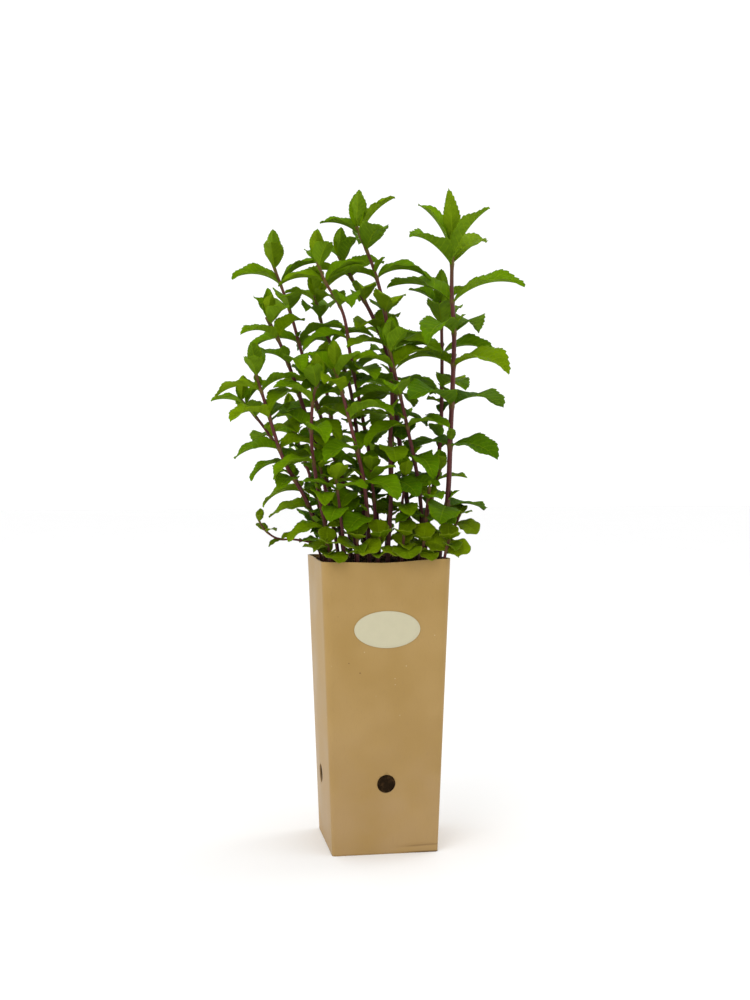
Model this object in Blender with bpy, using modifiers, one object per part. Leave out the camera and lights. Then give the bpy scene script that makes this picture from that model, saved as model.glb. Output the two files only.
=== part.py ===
"""A bushy herb in a tall card pot: metres, +Z up, origin at the middle of the pot's underside.

The pot is one folded and glued sheet of coated card, filled with soil. Each leafy stem stands
in its own hole in the soil, and carries its leaves in opposite pairs, each pair turned a
quarter from the one above it, as on all herbs of the mint family.
"""
import math
import random

import bmesh
import bpy
from mathutils import Matrix, Vector
from mathutils.bvhtree import BVHTree

QUARTER_TURN = math.pi / 2

# Card pot
POT_HEIGHT = 0.200
RIM_HALF_WIDTH = 0.0443
BASE_HALF_WIDTH = 0.0365
CARD = 0.0010
WALL_BOW = 0.0014
RIM_CORNER = 0.0070
BASE_CORNER = 0.0022
LEAST_CORNER = 0.0005
CORNER_STEPS = 3
SIDE_STATIONS = (-0.6, 0.0, 0.6)
POT_LEVELS = (0.0, 0.050, 0.100, 0.150, 0.200)
DRAIN_RADIUS = 0.0063
DRAIN_HEIGHT = 0.0487
DRAIN_SIDES = 14

# Oval label on the front wall
LABEL_HALF_WIDTH = 0.0225
LABEL_HALF_HEIGHT = 0.0125
LABEL_HEIGHT = 0.1541
LABEL_THICKNESS = 0.0004
LABEL_SIDES = 24
SEAT_GAP = 0.0003

# Soil
SOIL_LEVEL = 0.1965
SOIL_MOUND = 0.0010
SOIL_LUMP = 0.0009
SOIL_RINGS = (0.78, 0.50, 0.25)
SOIL_LEVELS = (0.0014, 0.100, 0.1945)
SOIL_SIDE_GAP = 0.0004
ROOT_DEPTH = 0.017
HOLE_SIDES = 4
HOLE_CLEARANCE = 0.0004
HOLE_TOOL_ABOVE_SOIL = 0.010

# Stems: the foot in the soil, the way up to the tip, half of the square stem's width,
# the size of its leaves against a full-grown one, the compass turn of its first pair,
# and how far above the soil its lowest leaves may stand
STEMS = {
    "leafy_stem_right": (
        (0.0385, -0.029),
        ((0.045, -0.026, 0.240), (0.048, -0.022, 0.288), (0.051, -0.019, 0.350), (0.050, -0.016, 0.384),
         (0.0505, -0.015, 0.413)),
        0.0015, 1.06, 43, 0.024),
    "leafy_stem_front": (
        (0.002, -0.033),
        ((0.005, -0.028, 0.240), (0.006, -0.020, 0.281), (0.009, -0.011, 0.312), (0.007, 0.000, 0.364),
         (-0.001, 0.004, 0.400), (-0.013, 0.008, 0.431)),
        0.0015, 0.96, 85, 0.046),
    "leafy_stem_middle": (
        (0.022, 0.000),
        ((0.023, 0.003, 0.230), (0.017, 0.007, 0.285), (0.012, 0.008, 0.332), (0.000, 0.010, 0.366),
         (-0.014, 0.012, 0.392), (-0.025, 0.012, 0.411)),
        0.0014, 0.84, 40, 0.085),
    "leafy_stem_low_right": (
        (0.030, -0.015),
        ((0.027, -0.017, 0.247), (0.018, -0.020, 0.290), (0.011, -0.024, 0.317), (0.003, -0.029, 0.346)),
        0.0012, 0.80, 15, 0.022),
    "leafy_stem_low_front": (
        (-0.010, -0.030),
        ((-0.013, -0.029, 0.249), (-0.020, -0.028, 0.281), (-0.026, -0.026, 0.306), (-0.033, -0.024, 0.330)),
        0.0012, 0.80, 55, 0.022),
    "leafy_stem_inner": (
        (0.004, 0.013),
        ((-0.001, 0.009, 0.253), (-0.011, 0.001, 0.303), (-0.019, -0.006, 0.337), (-0.025, -0.010, 0.368),
         (-0.038, -0.012, 0.390), (-0.044, -0.013, 0.405)),
        0.0013, 0.82, 5, 0.118),
    "leafy_stem_rear": (
        (-0.004, 0.027),
        ((-0.007, 0.023, 0.253), (-0.014, 0.024, 0.313), (-0.022, 0.026, 0.338), (-0.034, 0.028, 0.362),
         (-0.040, 0.028, 0.385)),
        0.0013, 0.82, 62, 0.118),
    "leafy_stem_left": (
        (-0.016, -0.011),
        ((-0.023, -0.006, 0.245), (-0.035, 0.006, 0.286), (-0.049, 0.016, 0.337), (-0.059, 0.021, 0.374),
         (-0.071, 0.024, 0.408)),
        0.0014, 0.88, -8, 0.044),
    "leafy_stem_left_leaning": (
        (-0.022, 0.008),
        ((-0.030, 0.010, 0.239), (-0.044, 0.004, 0.282), (-0.056, -0.004, 0.316), (-0.067, -0.009, 0.344),
         (-0.078, -0.012, 0.365)),
        0.0013, 0.78, 28, 0.044),
    "leafy_stem_outer_left": (
        (-0.037, -0.006),
        ((-0.050, -0.011, 0.238), (-0.067, -0.017, 0.268), (-0.078, -0.019, 0.301), (-0.087, -0.018, 0.330)),
        0.0013, 0.78, -20, 0.030),
    "leafy_stem_far_left": (
        (-0.031, 0.023),
        ((-0.046, 0.021, 0.237), (-0.061, 0.019, 0.265), (-0.077, 0.016, 0.290), (-0.094, 0.014, 0.310)),
        0.0012, 0.74, 70, 0.030),
    "leafy_stem_front_left": (
        (-0.036, -0.024),
        ((-0.044, -0.026, 0.244), (-0.049, -0.027, 0.278), (-0.048, -0.026, 0.308), (-0.044, -0.026, 0.322)),
        0.0012, 0.76, 12, 0.024),
    "leafy_stem_back_right": (
        (0.037, 0.012),
        ((0.043, 0.013, 0.246), (0.049, 0.016, 0.282), (0.051, 0.020, 0.332), (0.051, 0.023, 0.382)),
        0.0014, 0.92, 60, 0.100),
    "leafy_stem_back_left": (
        (-0.013, 0.036),
        ((-0.018, 0.045, 0.253), (-0.025, 0.056, 0.301), (-0.030, 0.062, 0.335)),
        0.0013, 0.84, 20, 0.078),
    "leafy_stem_back": (
        (0.013, 0.035),
        ((0.018, 0.042, 0.253), (0.021, 0.053, 0.310), (0.021, 0.060, 0.355)),
        0.0013, 0.86, 66, 0.078),
    "leafy_stem_back_corner": (
        (-0.029, 0.037),
        ((-0.038, 0.048, 0.245), (-0.048, 0.058, 0.278), (-0.054, 0.064, 0.298)),
        0.0012, 0.76, -30, 0.060),
}
TALLEST_STEM = "leafy_stem_right"
STEM_TIP_SHARE = 0.68
STEM_TAPER = 2.2
RING_ABOVE_PAIR = 0.003
RINGS_FROM_PAIR = 3
RUNNER_RINGS = (0.005, 0.010, 0.015, 0.022, 0.033, 0.043)
STEPS_PER_WAY = 12
LEAST_SPREAD = 0.5
FIRST_SEED = 7

# Short stems that grew later, with broad leaves low in front of the others
SHORT_STEMS = {
    "short_stem_front_left": (
        (-0.027, -0.033),
        ((-0.030, -0.036, 0.225), (-0.034, -0.038, 0.256)),
        0.0011, 0.76, 70, 0.030),
    "short_stem_left": (
        (-0.029, -0.014),
        ((-0.036, -0.018, 0.235), (-0.043, -0.024, 0.264)),
        0.0011, 0.70, 25, 0.032),
    "short_stem_front": (
        (-0.003, -0.020),
        ((-0.005, -0.022, 0.232), (-0.008, -0.025, 0.262)),
        0.0011, 0.68, 35, 0.036),
    "short_stem_front_middle": (
        (0.012, -0.020),
        ((0.013, -0.023, 0.230), (0.016, -0.026, 0.258)),
        0.0011, 0.68, 80, 0.030),
    "short_stem_front_right": (
        (0.027, -0.026),
        ((0.029, -0.030, 0.228), (0.031, -0.033, 0.250)),
        0.0011, 0.64, 20, 0.028),
    "short_stem_right": (
        (0.029, 0.000),
        ((0.036, -0.004, 0.232), (0.044, -0.008, 0.262)),
        0.0011, 0.70, 50, 0.030),
}

# Young shoots with round leaves at the rim, and thin runners that hang out over it
SHOOTS = {
    "young_shoot_front_left": (
        (-0.0365, -0.0365),
        ((-0.041, -0.041, 0.214),),
        0.0010, 0.36, 20, 0.009),
    "young_shoot_front": (
        (-0.019, -0.037),
        ((-0.020, -0.040, 0.217),),
        0.0010, 0.36, 60, 0.009),
    "young_shoot_front_middle": (
        (0.011, -0.0365),
        ((0.012, -0.040, 0.219),),
        0.0010, 0.37, 0, 0.009),
    "young_shoot_front_right": (
        (0.024, -0.036),
        ((0.026, -0.040, 0.215),),
        0.0010, 0.35, 35, 0.009),
    "young_shoot_right": (
        (0.038, -0.008),
        ((0.050, -0.014, 0.216), (0.056, -0.020, 0.232)),
        0.0010, 0.36, 50, 0.015),
    "young_shoot_back": (
        (0.000, 0.038),
        ((0.000, 0.043, 0.218),),
        0.0010, 0.42, 10, 0.009),
    "young_shoot_middle": (
        (-0.0055, -0.0385),
        ((-0.005, -0.041, 0.218),),
        0.0010, 0.36, 30, 0.009),
    "young_shoot_corner": (
        (0.0395, -0.0395),
        ((0.043, -0.042, 0.216),),
        0.0010, 0.36, 65, 0.009),
}
RUNNERS = {
    "runner_left": (
        (-0.038, 0.009),
        ((-0.043, 0.008, 0.2085), (-0.056, 0.006, 0.212), (-0.069, 0.004, 0.213), (-0.078, 0.003, 0.219),
         (-0.083, 0.002, 0.227)),
        0.0007, 0.28, 25, 0.030),
}

# Leaf pairs, from the tip down: the gap to the pair above (mm), then each leaf's length (mm),
# its rise at the root and its droop along the blade (degrees), half its width over its length,
# and how far each half of the blade is folded up from the midrib (degrees)
PAIRS = (
    (1.5, 26, 80, 12, 0.27, 32),
    (5.0, 35, 57, 48, 0.27, 30),
    (12.0, 42, 44, 64, 0.26, 28),
    (21.0, 46, 37, 74, 0.26, 25),
    (25.0, 46, 32, 74, 0.27, 21),
    (26.0, 42, 27, 72, 0.29, 17),
    (25.0, 37, 20, 66, 0.33, 13),
    (25.0, 33, 12, 62, 0.37, 11),
    (24.0, 29, 6, 58, 0.39, 9),
)
TALLEST_PAIRS = (
    (1.0, 43, 88, 8, 0.17, 34),
    (3.0, 47, 68, 48, 0.20, 30),
    (6.0, 58, 44, 56, 0.19, 28),
    (26.0, 56, 38, 70, 0.20, 26),
    (22.0, 54, 36, 70, 0.21, 24),
    (22.0, 54, 33, 68, 0.215, 22),
    (28.0, 53, 30, 66, 0.23, 18),
    (28.0, 44, 26, 62, 0.28, 14),
    (42.0, 36, 14, 54, 0.34, 10),
)
SHORT_PAIRS = (
    (1.5, 26, 60, 26, 0.32, 20),
    (7.0, 34, 34, 50, 0.34, 14),
    (13.0, 38, 22, 58, 0.36, 12),
    (15.0, 36, 14, 46, 0.39, 10),
)
SHOOT_PAIRS = (
    (2.0, 38, 50, 30, 0.40, 8),
    (7.0, 46, 26, 46, 0.42, 6),
    (11.0, 46, 14, 46, 0.42, 6),
)
RUNNER_PAIRS = (
    (2.0, 40, 55, 34, 0.26, 14),
    (9.0, 46, 34, 50, 0.28, 12),
    (12.0, 40, 20, 50, 0.28, 12),
)
CLUSTER_PAIRS = 3
BLADE = 0.0007
LIGHT_ROLL = math.radians(14)
LIGHT_DIP = math.radians(8)
ROUND_LEAF_TURN = 2.4
LEAN_SHARE = 0.5
SIZE_CHANCE = 0.08
BEND_CHANCE = 0.25
SWAY_CHANCE = 0.10
TURN_CHANCE = math.radians(9)
RISE_CHANCE = math.radians(7)
ROLL_CHANCE = math.radians(10)
PAIR_TURN_CHANCE = math.radians(8)
TIP_PAIR_TURN = math.radians(-98)
ROOT_INSET_SHARE = 0.2
PETIOLE_SHARE = 0.03
LEAF_SHOULDER = 0.85
SLIM_TAPER = 1.25
BLUNTNESS = 1.6
CLEAR = 0.0004
RIM_CLEAR = 0.0025

# Outline stations along one side of a blade: the share of its length, and the width there
# against a smooth leaf's, so that a tooth is over 1 and the notch after it under 1
TOOTHED = ((0.23, 1.0), (0.45, 1.11), (0.53, 0.88), (0.76, 1.08))
WAVED = ((0.26, 1.0), (0.50, 1.12), (0.78, 1.06))
PLAIN = ((0.30, 1.05), (0.66, 1.14))
ROUND = ((0.25, 1.15), (0.70, 1.35))
ROUND_FROM_RATIO = 0.40
TOOTHED_FROM = 0.052
WAVED_FROM = 0.040

# What a leaf tries, in this order, to bend clear of its neighbours
TURNS = (0, 12, -12, 24, -24, 38, -38, 52, -52)
LIFTS = (0, 14, -14, 28, -26)
SHRINKS = (1.0, 0.82, 0.64)

COLOURS = {
    "card": ((0.42, 0.27, 0.11, 1.0), 0.45),
    "label": ((0.80, 0.76, 0.60, 1.0), 0.5),
    "soil": ((0.012, 0.009, 0.006, 1.0), 0.95),
    "stem": ((0.10, 0.035, 0.03, 1.0), 0.5),
    "leaf": ((0.10, 0.23, 0.012, 1.0), 0.5),
    "young_leaf": ((0.17, 0.26, 0.02, 1.0), 0.5),
}


def material(name):
    """One surface with its own colour and roughness."""
    colour, roughness = COLOURS[name]
    surface = bpy.data.materials.new(name)
    surface.use_nodes = True
    shader = surface.node_tree.nodes["Principled BSDF"]
    shader.inputs["Base Color"].default_value = colour
    shader.inputs["Roughness"].default_value = roughness
    shader.inputs["Metallic"].default_value = 0.0
    return surface


def add_object(name, points, faces, collection, surface=None):
    """A mesh object made of points and faces, in a collection."""
    mesh = bpy.data.meshes.new(name)
    mesh.from_pydata([tuple(point) for point in points], [], faces)
    mesh.validate()
    if surface:
        mesh.materials.append(surface)
    made = bpy.data.objects.new(name, mesh)
    collection.objects.link(made)
    return made


def add_cutter(name, mesh_builder, collection):
    """A hidden tool for a Boolean, shown as wire."""
    mesh = bpy.data.meshes.new(name)
    builder = bmesh.new()
    mesh_builder(builder)
    builder.to_mesh(mesh)
    builder.free()
    cutter = bpy.data.objects.new(name, mesh)
    cutter.hide_render = True
    cutter.display_type = "WIRE"
    collection.objects.link(cutter)
    return cutter


def cut(target, cutter):
    """Take the cutter's shape out of the target."""
    modifier = target.modifiers.new("cut", "BOOLEAN")
    modifier.operation = "DIFFERENCE"
    modifier.object = cutter


# The folded card wall

def wall_half_width(z):
    return BASE_HALF_WIDTH + (RIM_HALF_WIDTH - BASE_HALF_WIDTH) * z / POT_HEIGHT


def wall_bow(z):
    """How far the soil pushes the middle of a wall out."""
    share = z / POT_HEIGHT
    return WALL_BOW * 4 * share * (1 - share)


def pot_ring(z, inset=0.0):
    """The pot's outline at a height: four bowed sides and four round corners."""
    half = wall_half_width(z) - inset
    corner = BASE_CORNER + (RIM_CORNER - BASE_CORNER) * z / POT_HEIGHT - inset
    corner = max(corner, LEAST_CORNER)
    flat = half - corner
    ring = []
    for side in range(4):
        angle = side * QUARTER_TURN
        normal = Vector((math.cos(angle), math.sin(angle), 0))
        along = Vector((-math.sin(angle), math.cos(angle), 0))
        for station in SIDE_STATIONS:
            bulge = wall_bow(z) * (1 - station ** 2)
            ring.append(normal * (half + bulge) + along * (station * flat))
        for step in range(CORNER_STEPS + 1):
            turn = step * QUARTER_TURN / CORNER_STEPS
            outward = normal * math.cos(turn) + along * math.sin(turn)
            ring.append((normal + along) * flat + outward * corner)
    return [point + Vector((0, 0, z)) for point in ring]


def loft(rings):
    """Points and side faces of a stack of closed rings of equal counts."""
    count = len(rings[0])
    points = [point for ring in rings for point in ring]
    faces = []
    for level in range(len(rings) - 1):
        low, high = level * count, (level + 1) * count
        for i in range(count):
            j = (i + 1) % count
            faces.append((low + i, low + j, high + j, high + i))
    return points, faces


def build_pot(parts, cutters):
    """One sheet of card: walls and floor, with a drain hole in each wall."""
    points, faces = loft([pot_ring(z) for z in POT_LEVELS])
    count = len(pot_ring(0.0))
    faces.append(tuple(reversed(range(count))))
    pot = add_object("card_pot", points, faces, parts, material("card"))
    shell = pot.modifiers.new("card", "SOLIDIFY")
    shell.thickness = CARD
    shell.offset = -1
    shell.use_even_offset = True

    for axis, turning_axis in (("y", "X"), ("x", "Y")):
        place = Matrix.Translation((0, 0, DRAIN_HEIGHT)) @ Matrix.Rotation(QUARTER_TURN, 4, turning_axis)

        def drain_tool(builder):
            bmesh.ops.create_cone(builder, cap_ends=True, segments=DRAIN_SIDES, radius1=DRAIN_RADIUS,
                                  radius2=DRAIN_RADIUS, depth=4 * BASE_HALF_WIDTH, matrix=place)

        cut(pot, add_cutter("drain_tool_along_" + axis, drain_tool, cutters))


def build_label(parts):
    """A thin oval sticker that follows the bow of the front wall."""
    points, faces = [], []

    def on_wall(x, z):
        across = x / (wall_half_width(z) - RIM_CORNER)
        depth = wall_half_width(z) + wall_bow(z) * (1 - across ** 2) + SEAT_GAP
        return Vector((x, -depth, z))

    points.append(on_wall(0.0, LABEL_HEIGHT))
    for step in range(LABEL_SIDES):
        angle = 2 * math.pi * step / LABEL_SIDES
        x, rise = LABEL_HALF_WIDTH * math.cos(angle), LABEL_HALF_HEIGHT * math.sin(angle)
        points.append(on_wall(x, LABEL_HEIGHT + rise))
        faces.append((0, 1 + step, 1 + (step + 1) % LABEL_SIDES))
    label = add_object("oval_label", points, faces, parts, material("label"))
    sheet = label.modifiers.new("paper", "SOLIDIFY")
    sheet.thickness = LABEL_THICKNESS
    sheet.offset = 1


# Stems

def stem_path(foot, ways):
    """A smooth way up from the soil, as close points with their distance along it."""
    start = Vector((foot[0], foot[1], SOIL_LEVEL))
    knots = [start] + [Vector(way) for way in ways]
    slopes = [Vector((0, 0, (knots[1] - knots[0]).length))]
    for i in range(1, len(knots) - 1):
        slopes.append((knots[i + 1] - knots[i - 1]) / 2)
    slopes.append(knots[-1] - knots[-2])
    points = [start]
    for i in range(len(knots) - 1):
        for step in range(1, STEPS_PER_WAY + 1):
            t = step / STEPS_PER_WAY
            points.append(knots[i] * (2 * t ** 3 - 3 * t ** 2 + 1) + slopes[i] * (t ** 3 - 2 * t ** 2 + t)
                          + knots[i + 1] * (3 * t ** 2 - 2 * t ** 3) + slopes[i + 1] * (t ** 3 - t ** 2))
    lengths = [0.0]
    for a, b in zip(points, points[1:]):
        lengths.append(lengths[-1] + (b - a).length)
    return points, lengths


def along_path(path, distance):
    """The point at a distance along the way, and its direction there."""
    points, lengths = path
    distance = min(max(distance, 0.0), lengths[-1])
    i = 1
    while lengths[i] < distance:
        i += 1
    share = (distance - lengths[i - 1]) / (lengths[i] - lengths[i - 1])
    return points[i - 1].lerp(points[i], share), (points[i] - points[i - 1]).normalized()


def girth_at(girth, share):
    """Half of the square stem's width: it thins a little towards the tip."""
    return girth * (1 - (1 - STEM_TIP_SHARE) * share ** STEM_TAPER)


def stem_tube(path, foot, girth, turn):
    """A closed square tube: upright in the soil, then along the way up, one ring to each point."""
    facing = Vector((math.cos(turn), math.sin(turn), 0))
    stations = [(Vector((foot[0], foot[1], SOIL_LEVEL - ROOT_DEPTH)), Vector((0, 0, 1)), girth)]
    centres, heights = path
    stations.append((centres[0], Vector((0, 0, 1)), girth))
    for i in range(1, len(centres)):
        ahead = centres[min(i + 1, len(centres) - 1)]
        direction = (ahead - centres[i - 1]).normalized()
        stations.append((centres[i], direction, girth_at(girth, heights[i] / heights[-1])))
    tube = []
    for point, direction, half in stations:
        side = (facing - direction * facing.dot(direction)).normalized()
        up = direction.cross(side)
        corners = ((1, 1), (-1, 1), (-1, -1), (1, -1))
        tube.append([point + side * (half * a) + up * (half * b) for a, b in corners])
    points, faces = loft(tube)
    last = len(points) - 4
    faces.append((3, 2, 1, 0))
    faces.append((last, last + 1, last + 2, last + 3))
    split = []
    for a, b, c, d in faces:
        split.extend([(a, b, c), (a, c, d)])
    return points, split


# Leaves

def half_width(leaf, share):
    """Half of a smooth blade's width at a share of its length."""
    blade = max(share - PETIOLE_SHARE, 0.0) / (1 - PETIOLE_SHARE)
    return leaf["width"] * math.sin(math.pi * blade ** LEAF_SHOULDER) ** leaf["taper"]


def blade_point(leaf, share, across, lift=0.0):
    """A point of the blade: across metres from its arched midrib, and lift off its face."""
    rise, bend, length = leaf["rise"], leaf["bend"], leaf["length"]
    heading = Vector((math.cos(leaf["azimuth"]), math.sin(leaf["azimuth"]), 0))
    sideways = Vector((-heading.y, heading.x, 0))
    slope = rise - bend * share
    out = length * (math.sin(rise) - math.sin(slope)) / bend
    up = length * (math.cos(slope) - math.cos(rise)) / bend
    sway = leaf["sway"] * length * share ** 2
    rib = leaf["root"] + heading * out + Vector((0, 0, up)) + sideways * sway
    level = heading * -math.sin(slope) + Vector((0, 0, math.cos(slope)))
    side = sideways * math.cos(leaf["roll"]) + level * math.sin(leaf["roll"])
    normal = level * math.cos(leaf["roll"]) - sideways * math.sin(leaf["roll"])
    raised = abs(across) * math.sin(leaf["fold"]) + lift
    return rib + side * (across * math.cos(leaf["fold"])) + normal * raised


def outline_of(leaf):
    """Stations along one side of a blade, and those along its midrib."""
    if leaf["round"]:
        return ROUND, (0.48,)
    if leaf["length"] >= TOOTHED_FROM:
        return TOOTHED, (0.40, 0.72)
    if leaf["length"] >= WAVED_FROM:
        return WAVED, (0.50,)
    return PLAIN, (0.48,)


def leaf_solid(leaf, grow=0.0):
    """A closed blade, split into triangles alike on both faces."""
    stations, rib_shares = outline_of(leaf)
    left = [(share, half_width(leaf, share) * factor + grow) for share, factor in stations]
    right = [(share, -across) for share, across in reversed(left)]
    rib = [(share, 0.0) for share in rib_shares]
    spots = [(0.0, 0.0)] + left + [(1.0, 0.0)] + right + rib
    outline_count = 2 * len(left) + 2
    tip_index = len(left) + 1
    half_blade = BLADE / 2 + grow
    points = [blade_point(leaf, share, across, half_blade) for share, across in spots]
    points += [blade_point(leaf, share, across, -half_blade) for share, across in spots]

    def strip(side, middle):
        """Triangles between one edge of the blade and its midrib, which meet at the tip."""
        fan = []
        i = j = 0
        while i < len(side) - 1 or j < len(middle) - 1:
            side_next = spots[side[i + 1]][0] if i < len(side) - 1 else 2.0
            middle_next = spots[middle[j + 1]][0] if j < len(middle) - 1 else 2.0
            if side_next <= middle_next:
                if side[i + 1] != middle[j]:
                    fan.append((side[i], side[i + 1], middle[j]))
                i += 1
            else:
                if middle[j + 1] != side[i]:
                    fan.append((side[i], middle[j + 1], middle[j]))
                j += 1
        return fan

    left_edge = list(range(1, tip_index + 1))
    right_edge = list(range(outline_count - 1, tip_index - 1, -1))
    middle = list(range(outline_count, outline_count + len(rib))) + [tip_index]
    top = [(c, b, a) for a, b, c in strip(left_edge, middle)]
    top += strip(right_edge, middle)
    top += [(left_edge[0], right_edge[0], middle[0]), (0, right_edge[0], left_edge[0])]
    total = len(spots)
    faces = [tuple(face) for face in top]
    faces += [(c + total, b + total, a + total) for a, b, c in top]
    for i in range(outline_count):
        j = (i + 1) % outline_count
        faces.append((i, j, j + total))
        faces.append((i, j + total, i + total))
    return points, faces


def leaf_on(path, distance, girth_here, azimuth, size, draw, row):
    """A leaf of one row of the pair table, its face turned to the light in front."""

    def chance(most):
        return draw.uniform(-most, most)

    length, rise, bend, ratio, fold = row[1:]
    point, direction = along_path(path, distance)
    heading = Vector((math.cos(azimuth), math.sin(azimuth), 0))
    outward = (heading - direction * heading.dot(direction)).normalized()
    lean = math.asin(max(-1.0, min(1.0, outward.z)))
    long = length * 0.001 * size * (1 + chance(SIZE_CHANCE))
    is_round = ratio >= ROUND_FROM_RATIO
    to_light = ROUND_LEAF_TURN if is_round else 1.0
    tilt = LEAN_SHARE * lean + to_light * LIGHT_DIP * math.sin(azimuth)
    return {
        "root": point + outward * (girth_here * ROOT_INSET_SHARE),
        "azimuth": azimuth + chance(TURN_CHANCE),
        "rise": math.radians(rise) + chance(RISE_CHANCE) + tilt,
        "bend": math.radians(bend) * (1 + chance(BEND_CHANCE)),
        "roll": chance(ROLL_CHANCE) + to_light * LIGHT_ROLL * math.cos(azimuth),
        "sway": chance(SWAY_CHANCE),
        "fold": math.radians(fold),
        "length": long,
        "width": long * ratio * (1 + chance(SIZE_CHANCE)),
        "taper": SLIM_TAPER - BLUNTNESS * ratio,
        "round": is_round,
    }


def box_of(points):
    return [(min(p[i] for p in points), max(p[i] for p in points)) for i in range(3)]


def boxes_meet(a, b):
    return all(a[i][0] <= b[i][1] and b[i][0] <= a[i][1] for i in range(3))


def over_pot(points, faces):
    """Whether a blade dips into the pot or its rim."""
    samples = list(points) + [(points[a] + points[b] + points[c]) / 3 for a, b, c in faces]
    samples += [(points[a] + points[b]) / 2 for a, b, c in faces]
    for p in samples:
        if p.z < POT_HEIGHT + RIM_CLEAR:
            if max(abs(p.x), abs(p.y)) < wall_half_width(max(p.z, 0.0)) + RIM_CLEAR:
                return True
    return False


def bend_clear(leaf, own_stem, obstacles):
    """Turn, lift or shrink a leaf until it is clear of what stands already, or give up."""
    for shrink in SHRINKS:
        for lift in LIFTS:
            for turn in TURNS:
                tried = dict(leaf)
                tried["azimuth"] = leaf["azimuth"] + math.radians(turn)
                tried["rise"] = leaf["rise"] + math.radians(lift)
                tried["length"] = leaf["length"] * shrink
                tried["width"] = leaf["width"] * shrink
                points, faces = leaf_solid(tried, CLEAR)
                if over_pot(points, faces):
                    continue
                box = box_of(points)
                tree = None
                for owner, other_box, other_tree in obstacles:
                    if owner == own_stem or not boxes_meet(box, other_box):
                        continue
                    tree = tree or BVHTree.FromPolygons(points, faces)
                    if tree.overlap(other_tree):
                        break
                else:
                    return tried
    return None


def pair_heights(total, pairs, spread, lowest):
    """How far along a stem each pair stands, from the tip down."""
    heights = []
    height = total
    while True:
        height -= pairs[min(len(heights), len(pairs) - 1)][0] * 0.001 * spread
        if height < lowest:
            return heights
        heights.append(height)


def plant_plan():
    """Every stem's way and leaves, each leaf bent clear of the other stems and leaves."""
    plan = {}
    obstacles = []
    for group, group_pairs in ((STEMS, PAIRS), (SHORT_STEMS, SHORT_PAIRS), (SHOOTS, SHOOT_PAIRS),
                               (RUNNERS, RUNNER_PAIRS)):
        for name, (foot, ways, girth, size, turn, lowest) in group.items():
            path = stem_path(foot, ways)
            total = path[1][-1]
            pairs = TALLEST_PAIRS if name == TALLEST_STEM else group_pairs
            spread = LEAST_SPREAD + (1 - LEAST_SPREAD) * size if pairs is PAIRS else 1.0
            heights = pair_heights(total, pairs, spread, lowest)
            rings = [0.0, total] + [height + RING_ABOVE_PAIR for height in heights[RINGS_FROM_PAIR:]]
            if group is RUNNERS:
                rings += RUNNER_RINGS
            rings.sort()
            path = ([along_path(path, ring)[0] for ring in rings], rings)
            tube = stem_tube(path, foot, girth, math.radians(turn))
            plan[name] = {"foot": foot, "path": path, "girth": girth, "size": size, "tube": tube,
                          "turn": math.radians(turn), "pairs": pairs, "heights": heights, "leaves": []}
            obstacles.append((name, box_of(tube[0]), BVHTree.FromPolygons(*tube)))
    for seed, (name, stem) in enumerate(plan.items()):
        draw = random.Random(FIRST_SEED + seed)
        for number, height in enumerate(stem["heights"]):
            row = stem["pairs"][min(number, len(stem["pairs"]) - 1)]
            girth_here = girth_at(stem["girth"], height / stem["path"][1][-1])
            turn = TIP_PAIR_TURN if number == 0 else stem["turn"] + QUARTER_TURN * number
            turn += draw.uniform(-PAIR_TURN_CHANCE, PAIR_TURN_CHANCE)
            for opposite in (0, math.pi):
                azimuth = turn + opposite
                wished = leaf_on(stem["path"], height, girth_here, azimuth, stem["size"], draw, row)
                leaf = bend_clear(wished, name, obstacles)
                if leaf:
                    stem["leaves"].append(leaf)
                    points, faces = leaf_solid(leaf)
                    owner = name if number < CLUSTER_PAIRS else None
                    obstacles.append((owner, box_of(points), BVHTree.FromPolygons(points, faces)))
    return plan


def build_stem(name, stem, parts, stem_surface, leaf_surface):
    """Fuse a stem's leaves to it in one solid."""
    body = add_object(name, *stem["tube"], parts, stem_surface)
    blades = bpy.data.collections.new(name + "_blades")
    bpy.context.scene.collection.children.link(blades)
    for number, leaf in enumerate(stem["leaves"]):
        add_object(f"{name}_blade_{number}", *leaf_solid(leaf), blades, leaf_surface)
    fuse = body.modifiers.new("fuse", "BOOLEAN")
    fuse.operation = "UNION"
    fuse.operand_type = "COLLECTION"
    fuse.collection = blades
    fuse.solver = "EXACT"
    fuse.material_mode = "TRANSFER"
    depsgraph = bpy.context.evaluated_depsgraph_get()
    fused = bpy.data.meshes.new_from_object(body.evaluated_get(depsgraph))
    body.modifiers.remove(fuse)
    body.data = fused
    for blade in list(blades.objects):
        bpy.data.objects.remove(blade)
    bpy.data.collections.remove(blades)


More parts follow.
